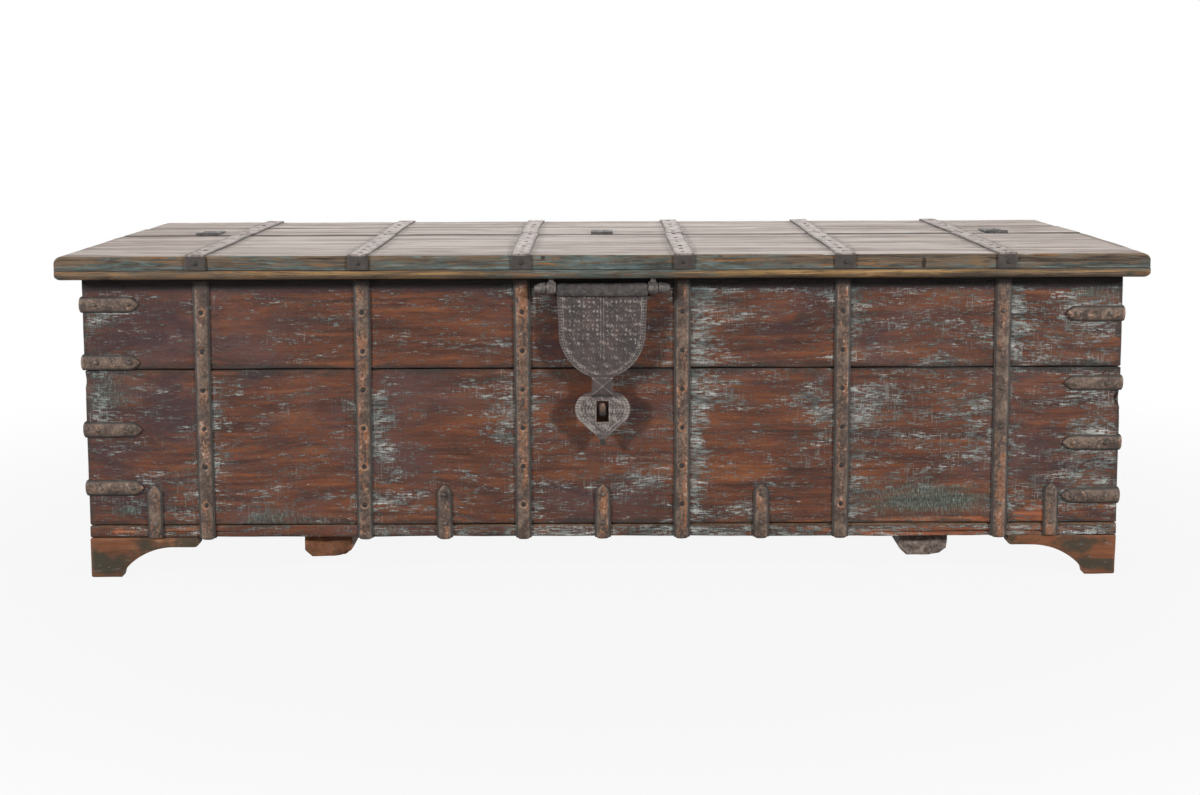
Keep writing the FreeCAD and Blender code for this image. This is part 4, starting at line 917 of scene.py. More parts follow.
# %% Battens
batten_low, batten_high = corners_of("flap_battens")
battens = []
BATTEN_HALF = 0.03
for k, middle in enumerate((-2 * BAY, 0.0, 2 * BAY)):
    low = np.array([middle - BATTEN_HALF, *batten_low[1:]])
    high = np.array([middle + BATTEN_HALF, *batten_high[1:]])
    points, outward, quads = worn_box(low, high, 0.004, 60 + k, (0.012, 0.012, 0.012))
    battens.append(part(points, quads, grain=grain_place(points, "y", 60 + k),
                        edge=edge_share(points, low, high, 0.008)))
piece("flap_battens", battens, BARE)

# %% [markdown]
# The feet stand on the floor and the bearers hang just clear of it. Their wood is orange where it is rubbed
# bare and dark where damp rose in it, and one bearer is weathered grey. One recipe does all three, by numbers
# at each point.

# %% Foot wood


def foot_wood():
    """Orange-brown wood, rubbed bare in places and dark with damp in others."""
    f = Finish("foot_wood")
    grain = f.read("grain", vector=True)
    edge, damp, warm, grey = (f.read(name) for name in ("edge", "damp", "warm", "grey"))
    fibre = f.noise(grain, (6, 130, 130), 6, 0.62, 0.4)
    broad = f.noise(grain, (12, 26, 26), 4, 0.6, 0.6)
    colour = f.ramp(f.add((0.5, fibre), (0.5, broad)), (0.30, "2b1d16"), (0.44, "4c3325"), (0.55, "6a4632"),
                    (0.66, "a0714f"))
    colour = f.over(colour, "8c5334", warm, 0.42)
    wet = f.noise(grain, (17, 22, 22), 5, 0.62)
    colour = f.over(colour, "303229", f.step(f.add((1.0, wet), (0.22, damp)), 0.50, 0.66), 0.85)
    left = f.noise(grain, (40, 190, 190), 5, 0.7)
    colour = f.over(colour, "6f7871", f.step(left, 0.60, 0.68), 0.6)
    colour = f.over(colour, "7c5540", f.step(edge, 0.3, 0.95), 0.35)
    weathered = f.ramp(fibre, (0.36, "3d3531"), (0.50, "665c56"), (0.64, "8d837b"))
    grey_share = f.step(f.add((0.5, broad), (0.45, grey)), 0.38, 0.62)
    colour = f.blend(f.math("MULTIPLY", grey_share, grey), colour, weathered)
    height = f.add((0.6, fibre), (0.4, broad), (0.2, left))
    return f.finish(colour, f.add((0.6, 1.0), (0.15, fibre)), height, 0.0018)


FOOT = foot_wood()

# %% [markdown]
# The feet are brackets sawn from plank: a pad on the floor, a hollow curve and a thin arm. A bracket is
# a worn box too, with its underside raised to the curve: the height at each place along it is the part of
# a circle that runs level into the arm. Two brackets meet in each foot.

# %% Feet
FOOT_HEIGHT, ARM_HEIGHT, PAD_RISE, ARM_RUN, TIP_ROUND = 0.061, 0.046, 0.005, 0.038, 0.008


def foot_underside(u, pad, length):
    """Height of the underside u along a bracket: 0 on the pad, a short rise at its end, then the circle
    a - R + sqrt(R^2 - (t - u)^2) that ends level at the arm, and a small round at the tip."""
    turn = length - ARM_RUN
    run, rise = turn - pad, ARM_HEIGHT - PAD_RISE
    radius = (run ** 2 + rise ** 2) / (2 * rise)
    curve = ARM_HEIGHT - radius + np.sqrt(np.maximum(radius ** 2 - np.clip(turn - u, 0, run) ** 2, 0))
    tip = np.clip(u - length + TIP_ROUND, 0, TIP_ROUND)
    return curve * ease(u, pad, pad + 0.0022) + TIP_ROUND - np.sqrt(TIP_ROUND ** 2 - tip ** 2)


def bracket(length, pad, thick, axes, start, seed, damp_places, warm, dark_arm=0.0):
    """A bracket of a length and a thickness. Axes are the frame's directions along it and through it. Damp
    darkens the places that are given and a share of its arm, and warm says how much orange shows, with more
    of it higher up."""
    close = np.r_[pad + np.array([0, 0.0008, 0.0015, 0.0023, 0.005]), length - 0.0011 * np.arange(9)]
    low, high = np.zeros(3), np.array([length, thick, FOOT_HEIGHT])
    points, outward, quads = worn_box(low, high, 0.0028, seed, (0.006, 0.009, 0.008), 0.6, (close, (), ()))
    near = edge_share(points, low, high, 0.006)
    points -= outward * (0.0009 * dents(points, 0.03, seed + 1))[:, None]
    under = foot_underside(points[:, 0], pad, length)
    points[:, 2] = under + points[:, 2] * (FOOT_HEIGHT - under) / FOOT_HEIGHT
    grain = grain_place(points, "x", seed)
    arm = dark_arm * ease(points[:, 0], 0.052, 0.085)
    rise = ease(points[:, 2], 0.036, 0.054) * (1 - arm)
    damp = patches(points, damp_places) + 0.55 * arm
    warmth = np.clip(warm + 0.8 * rise - 0.6 * arm, 0, 1)
    frame_axes = np.array([axes[0], axes[1], (0, 0, 1)], float)
    turned_over = np.linalg.det(frame_axes) < 0
    return part(points @ frame_axes + np.array(start), quads[:, ::-1] if turned_over else quads,
                grain=grain, edge=near, damp=damp, warm=warmth, grey=0 * damp)


PLANK, LONG_PAD, END_PAD, LONG_BRACKET, END_BRACKET = 0.026, 0.046, 0.020, 0.164, 0.150
DAMP = {"left": ((0.02, 0.024, 0.026, 0.017, 1.2),), "end": ((0.02, 0.024, 0.026, 0.017, 0.6),),
        "right": ((0.010, 0.017, 0.055, 0.008, 1.6), (0.052, 0.047, 0.016, 0.012, 0.35))}
foot_seed = 500
for end_name, end in ENDS:
    for side_name, side in SIDES:
        foot_seed += 7
        inward, across = (-side, 0, 0), (0, -end, 0)
        long_half = bracket(LONG_BRACKET, LONG_PAD, PLANK, (inward, across), (side * END_X, end * FACE_Y, 0),
                            foot_seed, DAMP[side_name], 0.5 - 0.4 * side * end, 0.9 if side < 0 else 0.0)
        end_half = bracket(END_BRACKET, END_PAD, PLANK, (across, inward),
                           (side * END_X, end * (FACE_Y - PLANK), 0), foot_seed + 3, DAMP["end"], 0.4)
        piece(f"{end_name}_{side_name}_foot", [long_half, end_half], FOOT)

# %% [markdown]
# Two bearers run under the bottom from front to back and keep its boards level. Their lower corners are cut
# off. They are boards with the grain along Y, so their end grain looks to the front.

# %% Bearers
CORNER_CUT = 0.011


def bearer_shape(points, low, high):
    """Cut off a bearer's lower corners: the underside rises by its distance past the cut's start."""
    middle, half = (low[0] + high[0]) / 2, (high[0] - low[0]) / 2
    rise = np.clip(np.abs(points[:, 0] - middle) - half + CORNER_CUT, 0, CORNER_CUT)
    share = (high[2] - points[:, 2]) / (high[2] - low[2])
    return lifted(points, rise * share)


def evenly(share):
    """The same number at every point."""
    def rule(points, outward):
        return np.full(len(points), share)
    return rule


for name, warm, grey in (("left_bearer", 0.5, 0.0), ("right_bearer", 0.0, 0.85)):
    low, high = corners_of(name)
    board(name, "y", FOOT, edge=0.003, step=0.008, dent=0.0012, shape=bearer_shape,
          reads={"damp": evenly(-0.2), "warm": evenly(warm), "grey": evenly(grey)},
          chips=(((low[0] + 0.03, low[1], high[2] - 0.004), 0.012, 0.006),
                 ((high[0] - 0.01, low[1], low[2]), 0.010, 0.005)))

# %% [markdown]
# The iron is wrought, rusted and rubbed. Its recipe mixes a dark scale, a brown rust and an orange that
# shows where hands polish it, with a little green at the edges. Numbers at each point say how orange a
# strap is, how near its edge a point is, and how dark a place is: dirt where a nail has punched a hollow,
# and painted shade under the lid and on the staple.

# %% Iron


def iron(name, dark, brown, bright, pale, shine, moss="4f5c55", rim="9a7f68", glint=None):
    """Pitted iron: dark scale, brown rust, a bright rubbed tone and pale flecks by noise, pale rims, and a
    glint where a crown is rubbed most."""
    f = Finish(name)
    place = f.node("ShaderNodeTexCoord", {}).outputs["Object"]
    edge, tint, hollow = (f.read(key) for key in ("edge", "tint", "hollow"))
    blotch = f.noise(place, (46, 46, 46), 6, 0.68, 0.4)
    worn = f.noise(place, (75, 75, 24), 6, 0.7, 0.5)
    fine = f.noise(place, (240, 240, 240), 5, 0.7)
    pits = f.noise(place, (620, 620, 620), 3, 0.6)
    colour = f.ramp(f.add((0.6, blotch), (0.4, fine)), (0.36, dark), (0.47, brown), (0.62, pale))
    rubbed = f.step(f.add((0.7, worn), (0.3, fine), (0.085, tint), (-0.12, edge)), 0.515, 0.615)
    glow = f.ramp(fine, (0.34, brown), (0.47, bright), (0.64, pale))
    colour = f.over(colour, glow, rubbed, 0.8)
    fleck = f.step(f.add((0.7, fine), (0.3, blotch)), 0.60, 0.70)
    colour = f.over(colour, pale, fleck, 0.5)
    if glint:
        crest = f.step(f.add((0.45, fine), (0.55, worn), (-0.06, edge)), 0.555, 0.65)
        colour = f.over(colour, glint, crest, 0.6)
    colour = f.over(colour, rim, f.step(tint, 1.0, 1.5), 0.65)
    green = f.math("MULTIPLY", f.step(f.add((0.6, blotch), (0.30, edge)), 0.50, 0.68), 0.32)
    colour = f.blend(green, colour, tone(moss))
    # Grime darkens edges: real dirt, and painted contact shade along the flanks of straps and at the foot of
    # nail heads.
    grime = f.math("MULTIPLY", f.step(f.add((0.5, fine), (0.55, edge)), 0.50, 0.85), 0.84)
    colour = f.blend(grime, colour, tone("2a2624"))
    # Near-black where hollow is high: dirt in nail hollows, and painted shade under the lid and on the
    # staple.
    colour = f.blend(f.step(hollow, 0.12, 0.62), colour, tone("17110f"))
    height = f.add((0.5, blotch), (0.5, fine), (0.4, pits))
    roughness = f.add((shine, 1.0), (0.25, fine), (0.15, grime))
    return f.finish(colour, roughness, height, 0.0014, metallic=0.12, gloss=0.4)


BAND_IRON = iron("band_iron", "1f1a18", "473830", "955a33", "7d6a5b", 0.42, glint="c9b5a6")
LID_IRON = iron("lid_iron", "38302e", "675b56", "998b85", "a4978f", 0.50, "51423f")
HASP_IRON = iron("hasp_iron", "1c1a1a", "322e2d", "43372f", "56504d", 0.42)
# A lighter iron for the eyes and the pin: partly their own paler colour, partly painted light against the
# lid's shade.
EYE_IRON_LIGHTENED = iron("eye_iron_lightened", "252221", "423d3b", "5d5551", "756d68", 0.40)
NAIL_IRON = iron("nail_iron", "241f1d", "40362f", "6b4d38", "75685c", 0.38)
LID_NAIL_IRON = iron("lid_nail_iron", "38302e", "5c514c", "877a74", "978a82", 0.45, "51423f")

# %% [markdown]
# A strap is a section carried along a bent line on the wood. The section is a thin flange with a rounded
# crown, the line turns its corners in small arcs, and the width narrows to a tip where the strap ends in
# a point. Nails punch a hollow with a raised rim, so the rows of the grid crowd together there.

# %% Straps


def section_of(*half):
    """A section from its left half, as (across, height) shares up to the middle, and its mirror image."""
    left = np.array(half, float)
    return np.concatenate([left, (left * (-1, 1))[-2::-1]]).T


CROWNED = section_of((-1, 0), (-1, 0.26), (-0.94, 0.34), (-0.80, 0.37), (-0.74, 0.56), (-0.62, 0.80),
                     (-0.46, 0.92), (-0.30, 0.97), (-0.15, 0.99), (0, 1))
HALF_ROUND = section_of((-1, 0), (-1, 0.22), (-0.93, 0.44), (-0.80, 0.66), (-0.62, 0.84), (-0.40, 0.94),
                        (-0.20, 0.985), (0, 1))
FLAT = section_of((-1, 0), (-1, 0.62), (-0.93, 0.96), (-0.7, 1), (-0.45, 1), (-0.2, 1), (0, 1))
ROUND_BAR = np.array([(-1, 0.15), (-1, 0.75), (-0.86, 0.93), (-0.5, 1), (0, 1), (0.5, 1), (0.86, 0.93),
                      (1, 0.75), (1, 0.15), (0.8, 0), (-0.8, 0)]).T
NAIL_HOLLOW, NAIL_RIM, RIM_WIDTH, CROWD = 0.0034, 0.0054, 0.0012, 0.0068
TIP_LENGTH = 0.0145


def bent_line(corners, arc, step, close):
    """Places and directions along straight legs joined by quarter circles of a radius, with rows crowded
    near the close places: corner - arc*way + arc*(sin(a)*way + (1 - cos(a))*next way) round a corner."""
    corners, close = np.array(corners, float), np.array(close, float).reshape(-1, 2)
    legs = np.diff(corners, axis=0)
    lengths = np.linalg.norm(legs, axis=1)
    ways = legs / lengths[:, None]
    places, directions = [], []
    for k, (start, way, length) in enumerate(zip(corners, ways, lengths)):
        bends_on = k < len(legs) - 1
        first, last = (arc if k else 0.0), length - (arc if bends_on else 0.0)
        along = (close - start) @ way
        off = np.abs((close - start) @ np.array([-way[1], way[0]]))
        crowd = (along[off < 0.002][:, None] + np.linspace(-CROWD, CROWD, 13)).ravel()
        at = np.concatenate([np.linspace(first, last, max(2, int(length / step) + 1)), crowd,
                             [first + 0.0007, first + 0.002, last - 0.002, last - 0.0007]])
        at = np.unique(at[(at >= first) & (at <= last)].round(5))
        places.append(start + at[:, None] * way)
        directions.append(np.tile(way, (len(at), 1)))
        if bends_on:
            turn = np.linspace(0, math.pi / 2, 7)[1:-1, None]
            after = ways[k + 1]
            bend = np.sin(turn) * way + (1 - np.cos(turn)) * after
            places.append(corners[k + 1] - arc * way + arc * bend)
            directions.append(np.cos(turn) * way + np.sin(turn) * after)
    return np.concatenate(places), np.concatenate(directions)


def painted_lid_shadow(z):
    """Painted shadow of the lid on iron close under it, from none at 431 mm up to its full share at 441 mm.
    """
    return 0.5 * ease(z, 0.431, 0.441) * (z < 0.456)


def strap(corners, plane, level, half, thick, section, seed, tips=(False, False), holes=(), sink=0.0,
          tint=0.5, step=0.006, arc=0.001, sway=0.0, dent=0.0005):
    """A section carried along a bent line in the plane "yz" or "xy" at a level of the third axis. Point
    (s, t) lies at line(s) + across(t)*width(s)*side + height(t)*thickness*outward(s). Each hole gets rows of
    its own, and where it is sunk, a hollow with a rim."""
    line, way = bent_line(corners, arc, step, holes)
    outward = np.stack([way[:, 1], -way[:, 0]], 1)
    run = np.r_[0, np.cumsum(np.linalg.norm(np.diff(line, axis=0), axis=1))]
    width = half * (1 + 0.035 * ripple(run[:, None], 0.05, seed))
    rise = thick * np.ones_like(run)
    for pointed, gap in zip(tips, (run, run[-1] - run)):
        if pointed:
            width = width * (0.08 + 0.92 * (1 - (1 - np.clip(gap / TIP_LENGTH, 0, 1)) ** 2) ** 0.9)
            rise *= 0.45 + 0.55 * ease(gap, 0, 0.006)
        else:
            rise *= 0.75 + 0.25 * ease(gap, 0, 0.002)
    across = width[:, None] * section[0]
    height = rise[:, None] * section[1]
    swayed = across + sway * ripple(run[:, None], 0.12, seed + 2)[:, None]
    surface = np.stack([np.broadcast_to(run[:, None], across.shape), across], -1)
    crown = section[1] > 0.3
    height = height - crown * dent * dents(surface, 0.014, seed + 1)
    hollow, ring = np.zeros_like(height), np.zeros_like(height)
    for hole in np.array(holes).reshape(-1, 2):
        away = np.sqrt(((line - hole) ** 2).sum(1)[:, None] + across ** 2)
        hollow = np.maximum(hollow, bell(away, NAIL_HOLLOW))
        ring = np.maximum(ring, bell(away - NAIL_RIM, RIM_WIDTH))
        height = height - crown * sink * (bell(away, NAIL_HOLLOW) - 0.22 * bell(away - 0.0056, 0.0014))
    flat = line[:, None, :] + height[..., None] * outward[:, None, :]
    points = np.zeros(across.shape + (3,))
    if plane == "yz":
        points[..., 0], points[..., 1:] = level + swayed, flat
    else:
        points[..., 2], points[..., :2] = level + swayed, flat
    # The flanks count as edge, so the finish darkens them with grime and painted contact shade.
    edge = ease(np.abs(np.broadcast_to(section[0], across.shape)), 0.52, 0.84)
    flat_points = points.reshape(-1, 3)
    rim = ring.ravel() * (0.75 + 0.75 * ripple(flat_points, 0.008, seed + 6))
    tints = tint + 0.42 * ripple(flat_points, 0.055, seed + 4).clip(-1, 0.7) + (sink > 0) * rim.clip(0, 1.3)
    # dirt holds the dirt in sunk nail hollows and the painted shadow of the lid on the bands.
    dirt = np.maximum((sink > 0) * hollow.ravel(), painted_lid_shadow(flat_points[:, 2]))
    return part(points, tube_faces(*across.shape), edge=edge.ravel(), tint=tints, hollow=dirt)


# %% [markdown]
# Six bands run down the front, under the bottom and up the back. The middle two are the most orange,
# rubbed by everyone who opened the lid. The nails of the last one stand proud, the others are sunk.

# %% Iron bands
BAND_NAIL_Z = 0.401 - 0.058 * np.arange(6)
BAND_TINT = (0.0, 0.35, 0.7, 0.4, 0.15, 0.35)
BAND_SINK = (0.0019, 0.0019, 0.0019, 0.0019, 0.0019, 0.0)
band_line = [(-FACE_Y, BAND_TOP), (-FACE_Y, BOX_LOW), (FACE_Y, BOX_LOW), (FACE_Y, BAND_TOP)]
band_holes = [(side * FACE_Y, z) for side in (-1, 1) for z in BAND_NAIL_Z]
for k, x in enumerate(BAND_X):
    band = strap(band_line, "yz", x, BAND_HALF, BAND_THICK, CROWNED, 900 + 11 * k, holes=band_holes,
                 sink=BAND_SINK[k], tint=BAND_TINT[k], sway=0.0006)
    piece(f"iron_band_{k + 1}", [band], BAND_IRON)

# %% [markdown]
# Short pointed straps hold the bottom to the walls, and longer ones wrap the upright corners. A smith cuts
# both from strip and hammers the ends to a point. They are the same carried section as the bands, with a
# rounder crown on the corners and tips at their ends.

# %% Short straps and corner straps
SHORT_TOP, SHORT_FOLD, OUTER_SHORT = 0.141, 0.260, 0.670
SHORT_X = (-OUTER_SHORT, -BAY, 0.0, BAY, OUTER_SHORT)
SHORT_NAIL_Z = (0.126, 0.082)


def short_strap(x, end, seed):
    """A pointed strap at the lower edge, folded under the bottom unless a foot is there."""
    line = [(end * FACE_Y, SHORT_TOP), (end * FACE_Y, BOX_LOW)]
    if abs(x) < OUTER_SHORT:
        line.append((end * SHORT_FOLD, BOX_LOW))
    if end > 0:
        line = line[::-1]
    return strap(line, "yz", x, STRAP_HALF, BAND_THICK, CROWNED, seed, tips=(end < 0, end > 0), tint=0.22,
                 holes=[(end * FACE_Y, z) for z in SHORT_NAIL_Z], step=0.003)


for k, x in enumerate(SHORT_X):
    piece(f"short_strap_{k + 1}", [short_strap(x, -1, 1200 + 9 * k)], BAND_IRON)
back_straps = [short_strap(x, 1, 1260 + 9 * k) for k, x in enumerate(SHORT_X)]
piece("back_short_straps", back_straps, BAND_IRON)

REACH = 0.084


def corner_line(side, end):
    """The line of a corner strap, from tip to tip, with the outside of the trunk on its right."""
    along_front = (side * (END_X - REACH), end * FACE_Y)
    along_end = (side * END_X, end * (FACE_Y - REACH))
    line = [along_front, (side * END_X, end * FACE_Y), along_end]
    return line if side * end < 0 else line[::-1]


for end_name, end in ENDS:
    for side_name, side in SIDES:
        straps = [strap(corner_line(side, end), "xy", z, STRAP_HALF, BAND_THICK, HALF_ROUND,
                        1400 + 31 * k + 7 * side + end, tips=(True, True), tint=-0.05, step=0.003,
                        sway=0.0004)
                  for k, z in enumerate(STRAP_Z[side_name])]
        piece(f"{end_name}_{side_name}_corner_straps", straps, BAND_IRON)

# %% [markdown]
# The straps of the lid are thinner and flat. They are worn pale on top, where things are set down, and
# stay dark in the fold over the lid's edge, so the tint at each point follows the height.

# %% Lid straps
STRAP_GAP, LID_STRAP, LID_STRAP_THICK = 0.006, 0.0145, 0.0025


def lid_strap(x, end, seed):
    """A flat strap from the seam over the lid and down its edge."""
    seam_end = SEAM_Y + end * STRAP_GAP
    line = [(seam_end, LID_TOP), (end * LID_Y, LID_TOP), (end * LID_Y, LID_LOW)]
    made = strap(line if end < 0 else line[::-1], "yz", x, LID_STRAP, LID_STRAP_THICK, FLAT, seed,
                 sway=0.0022, dent=0.0006)
    z, reads = made["points"][:, 2], made["attributes"]
    reads["tint"] = 0.95 * ease(z, LID_TOP - 0.002, LID_TOP + 0.0015) - 0.25
    reads["edge"] = np.maximum(0.8 * reads["edge"], 1.0 * (z < LID_TOP - 0.0005))
    return made


for name, end, first_seed in (("flap_straps", -1, 1600), ("fixed_top_straps", 1, 1700)):
    piece(name, [lid_strap(x, end, first_seed + 13 * k) for k, x in enumerate(BAND_X)], LID_IRON)

# %% [markdown]
# Nails hold every strap. A smith forges each head with a few blows, so no two are alike. A head is a low
# dome of a few dozen faces, worked out once and copied to all its places at once, each turned, tilted and
# sized a little differently.

# %% Nail heads
SECTORS = 10
DOME = np.array([(1.0, -0.6), (1.0, 0.10), (0.86, 0.55), (0.52, 0.90)])


def nail_heads(places, facing, radius, height, seed, deep=0.0, dark=0.0):
    """Domes at places: ring points r*(cos a, sin a) at heights h, on axes across and along the way each
    nail faces. Deep sinks a head below its place, and dark is how much dirt covers it."""
    draw = np.random.default_rng(seed)
    places, facing = np.array(places, float), np.array(facing, float)
    count = len(places)
    size = draw.uniform(0.88, 1.08, (count, 1, 1))
    tilt = facing + draw.normal(0, 0.06, (count, 3))
    tilt /= np.linalg.norm(tilt, axis=1, keepdims=True)
    helper = np.where(np.abs(tilt[:, :1]) > 0.8, [[0.0, 1.0, 0.0]], [[1.0, 0.0, 0.0]])
    first = np.cross(helper, tilt)
    first /= np.linalg.norm(first, axis=1, keepdims=True)
    second = np.cross(tilt, first)
    angle = draw.uniform(0, 6.28, (count, 1)) + np.linspace(0, 2 * math.pi, SECTORS, endpoint=False)
    ring = np.cos(angle)[..., None] * first[:, None] + np.sin(angle)[..., None] * second[:, None]
    wobble = 1 + draw.normal(0, 0.05, (count, 1, SECTORS, 1))
    rings = radius * DOME[None, :, 0, None, None] * ring[:, None] * wobble * size[..., None]
    rings = rings + height * (DOME[:, 1][None, :, None, None] * size[..., None]) * tilt[:, None, None]
    crown = height * size[:, :, 0] * tilt
    base = places - deep * facing
    dome = np.concatenate([rings.reshape(count, -1, 3), crown[:, None]], axis=1) + base[:, None]
    per_nail = dome.shape[1]
    quads = grid_faces(len(DOME), SECTORS, wrap=True)
    last = (len(DOME) - 1) * SECTORS + np.arange(SECTORS)
    tops = np.stack([last, np.roll(last, -1), np.full(SECTORS, per_nail - 1)], 1)
    foot = np.arange(SECTORS)[::-1][None]
    starts = (np.arange(count) * per_nail)[:, None, None]
    blocks = [(block[None] + starts).reshape(-1, block.shape[1]) for block in (quads, tops, foot)]
    per_point = np.repeat(draw.uniform(0.1, 0.5, count), per_nail)
    # The foot of each dome counts as edge, which the finish darkens: painted shade where the head meets the
    # iron.
    low_ring = np.tile(np.r_[np.ones(2 * SECTORS), np.full(SECTORS, 0.4), np.zeros(SECTORS + 1)], count)
    return part(dome, blocks, edge=low_ring, tint=per_point, hollow=np.full(count * per_nail, dark))


def front_and_back(x, z, reach=FACE_Y + BAND_THICK):
    """The same place on the front and on the back, with the ways that they face."""
    return [((x, end * reach, z), (0, end, 0)) for end in (-1, 1)]


# %% [markdown]
# The nails of the box go through its bands and straps, at the same places in front and behind. Those of
# the first five bands sit down in their hollows, dark with dirt, and the others stand proud as domes.

# %% Nails of the box
CORNER_NAIL_GAPS = (0.020, 0.069)
sunk = [n for x in BAND_X[:5] for z in BAND_NAIL_Z for n in front_and_back(x, z)]
domed = [n for z in BAND_NAIL_Z for n in front_and_back(BAND_X[5], z)]
domed += [n for x in SHORT_X for z in SHORT_NAIL_Z for n in front_and_back(x, z)]
for side_name, side in SIDES:
    for z in STRAP_Z[side_name]:
        for gap in CORNER_NAIL_GAPS:
            domed += front_and_back(side * (END_X - gap), z)
            domed += [((side * (END_X + BAND_THICK), end * (FACE_Y - gap), z), (side, 0, 0))
                      for end in (-1, 1)]
piece("box_nails", [nail_heads(*zip(*sunk), 0.0030, 0.0013, 7, deep=0.0017, dark=0.85),
                    nail_heads(*zip(*domed), 0.0039, 0.0021, 8, deep=0.0003)], NAIL_IRON)

# %% [markdown]
# The nails of the lid are rubbed as pale as its straps on top, and stay dark in the folds at its edge. Two
# more hold each hinge's leaf.

# %% Nails of the lid
STRAP_TOP, FOLD_Z, FOLD_Y = LID_TOP + LID_STRAP_THICK, 0.477, LID_Y + LID_STRAP_THICK
HINGE_X, LEAF_THICK = (-0.655, 0.0, 0.655), 0.002
LID_NAIL = {"radius": 0.0038, "height": 0.0014, "deep": 0.0004}
flap_y = np.r_[-0.304, -0.259, np.linspace(-0.207, 0.0145, 4)]
fixed_y = np.array([0.0695, 0.1655, 0.2175, 0.304])
leaf_nails = [((x + gap, 0.0953, LID_TOP + LEAF_THICK), UP) for x in HINGE_X for gap in (-0.006, 0.006)]
for name, rows, fold_y, facing, others, seeds in (
        ("flap_nails", flap_y, -FOLD_Y, TO_FRONT, [], (9, 13)),
        ("fixed_top_nails", fixed_y, FOLD_Y, TO_BACK, leaf_nails, (10, 14))):
    tops = [((x, y, STRAP_TOP), UP) for x in BAND_X for y in rows] + others
    folds = [((x, fold_y, FOLD_Z), facing) for x in BAND_X]
    piece(name, [nail_heads(*zip(*tops), seed=seeds[0], **LID_NAIL),
                 nail_heads(*zip(*folds), seed=seeds[1], dark=0.55, **LID_NAIL)], LID_NAIL_IRON)

# %% [markdown]
# Small iron is either turned about a line, like a pin or a ring, or hammered flat. A turned piece is a
# profile of distance and radius carried round a circle, and a flat one is a worn box with sharper edges.

# %% Turned and flat iron


def iron_reads(points, tint):
    """What an iron finish reads on a plain piece: no edge, no hollow and a tint."""
    return {"edge": np.zeros(len(points)), "hollow": np.zeros(len(points)), "tint": tint}


def turned(along, radius, centre, seed, closed, rough=0.0, sectors=40):
    """A profile of places along X and radii, turned about a line along X through a centre. A closed
    profile makes a ring; an open one ends in two flat discs."""
    angle = np.linspace(0, 2 * math.pi, sectors, endpoint=False)
    along, radius = np.array(along, float)[:, None, None], np.array(radius, float)[:, None, None]
    spin = np.stack([0 * angle, np.cos(angle), np.sin(angle)], -1)
    points = along * np.array([1.0, 0, 0]) + radius * spin + np.array([0, *centre])
    points = points - spin * (rough * dents(points, 0.012, seed))[..., None]
    rows = len(along)
    blocks = tube_faces(rows, sectors)
    if closed:
        ring = np.arange(sectors)
        after, last = (ring + 1) % sectors, (rows - 1) * sectors
        blocks[1] = np.stack([ring, after, last + after, last + ring], 1)
    flat = points.reshape(-1, 3)
    return part(flat, blocks, **iron_reads(flat, 0.3 + 0.3 * ripple(flat, 0.02, seed + 1)))


def metal_box(low, high, edge, seed, step, dent=0.0003, tint=0.3, dark=0.0):
    """A worn iron block, as dark as an edge by a share."""
    points, outward, quads = worn_box(low, high, edge, seed, (step,) * 3)
    near = edge_share(points, np.array(low), np.array(high), 0.002)
    points -= outward * (dent * dents(points, 0.012, seed))[:, None]
    return part(points, quads, edge=np.maximum(0.6 * near, dark), hollow=np.zeros(len(points)),
                tint=np.full(len(points), tint))


# %% [markdown]
# Three hinges join the flap to the fixed top. Each leaf is a plate with its knuckles rolled round the pin:
# two outer knuckles on the fixed leaf and one between them on the flap's. The flap's leaf is let into its
# rear edge, so only the fixed leaf shows.

# %% Hinges
PIN_BORE, KNUCKLE, CHAMFER, THIRD = 0.00255, 0.0045, 0.0006, 0.0062
MORTISE, LEAF_LENGTH, HINGE_HALF, METAL_STEP = 0.0053, 0.060, 0.018, 0.003
HINGE_LINE = (SEAM_Y, LID_TOP)
KNUCKLE_RADII = [KNUCKLE - CHAMFER, KNUCKLE, KNUCKLE, KNUCKLE - CHAMFER, PIN_BORE, PIN_BORE]
PIN_RADII = [0.0016, 0.0025, 0.0025, 0.0016]


def knuckle(low, high, seed):
    """A ring round the hinge's pin, from low to high along X, with its outer corners cut off."""
    profile = [low, low + CHAMFER, high - CHAMFER, high, high, low]
    return turned(profile, KNUCKLE_RADII, HINGE_LINE, seed, True, 0.0001)


fixed_leaves, flap_leaves, pins = [], [], []
behind, before = SEAM_Y + MORTISE, SEAM_Y - MORTISE
for k, x in enumerate(HINGE_X):
    first, last = x - HINGE_HALF, x + HINGE_HALF
    fixed_leaves.append(metal_box(
        (first, behind - 0.0004, LID_TOP), (last, behind + LEAF_LENGTH, LID_TOP + LEAF_THICK),
        0.0007, 40 + k, METAL_STEP, tint=-0.8, dark=1.0))
    for low, high in ((first, x - THIRD), (x + THIRD, last)):
        fixed_leaves.append(knuckle(low, high, 50 + k))
        fixed_leaves.append(metal_box(
            (low, SEAM_Y + 0.003, LID_TOP + 0.0002), (high, behind, LID_TOP + 0.0021),
            0.0005, 45 + k, METAL_STEP))
    low, high = x - THIRD + 0.0004, x + THIRD - 0.0004
    flap_leaves.append(knuckle(low, high, 55 + k))
    flap_leaves.append(metal_box(
        (first, before, LID_TOP - 0.017), (last, before + LEAF_THICK, LID_TOP - MORTISE),
        0.0006, 65 + k, METAL_STEP))
    flap_leaves.append(metal_box(
        (low, before, LID_TOP - MORTISE - 0.0005), (high, before + LEAF_THICK, LID_TOP),
        0.0005, 70 + k, METAL_STEP))
    pin_ends = x + np.array([-0.018, -0.0176, 0.0176, 0.018])
    pins.append(turned(pin_ends, PIN_RADII, HINGE_LINE, 80 + k, False, sectors=20))
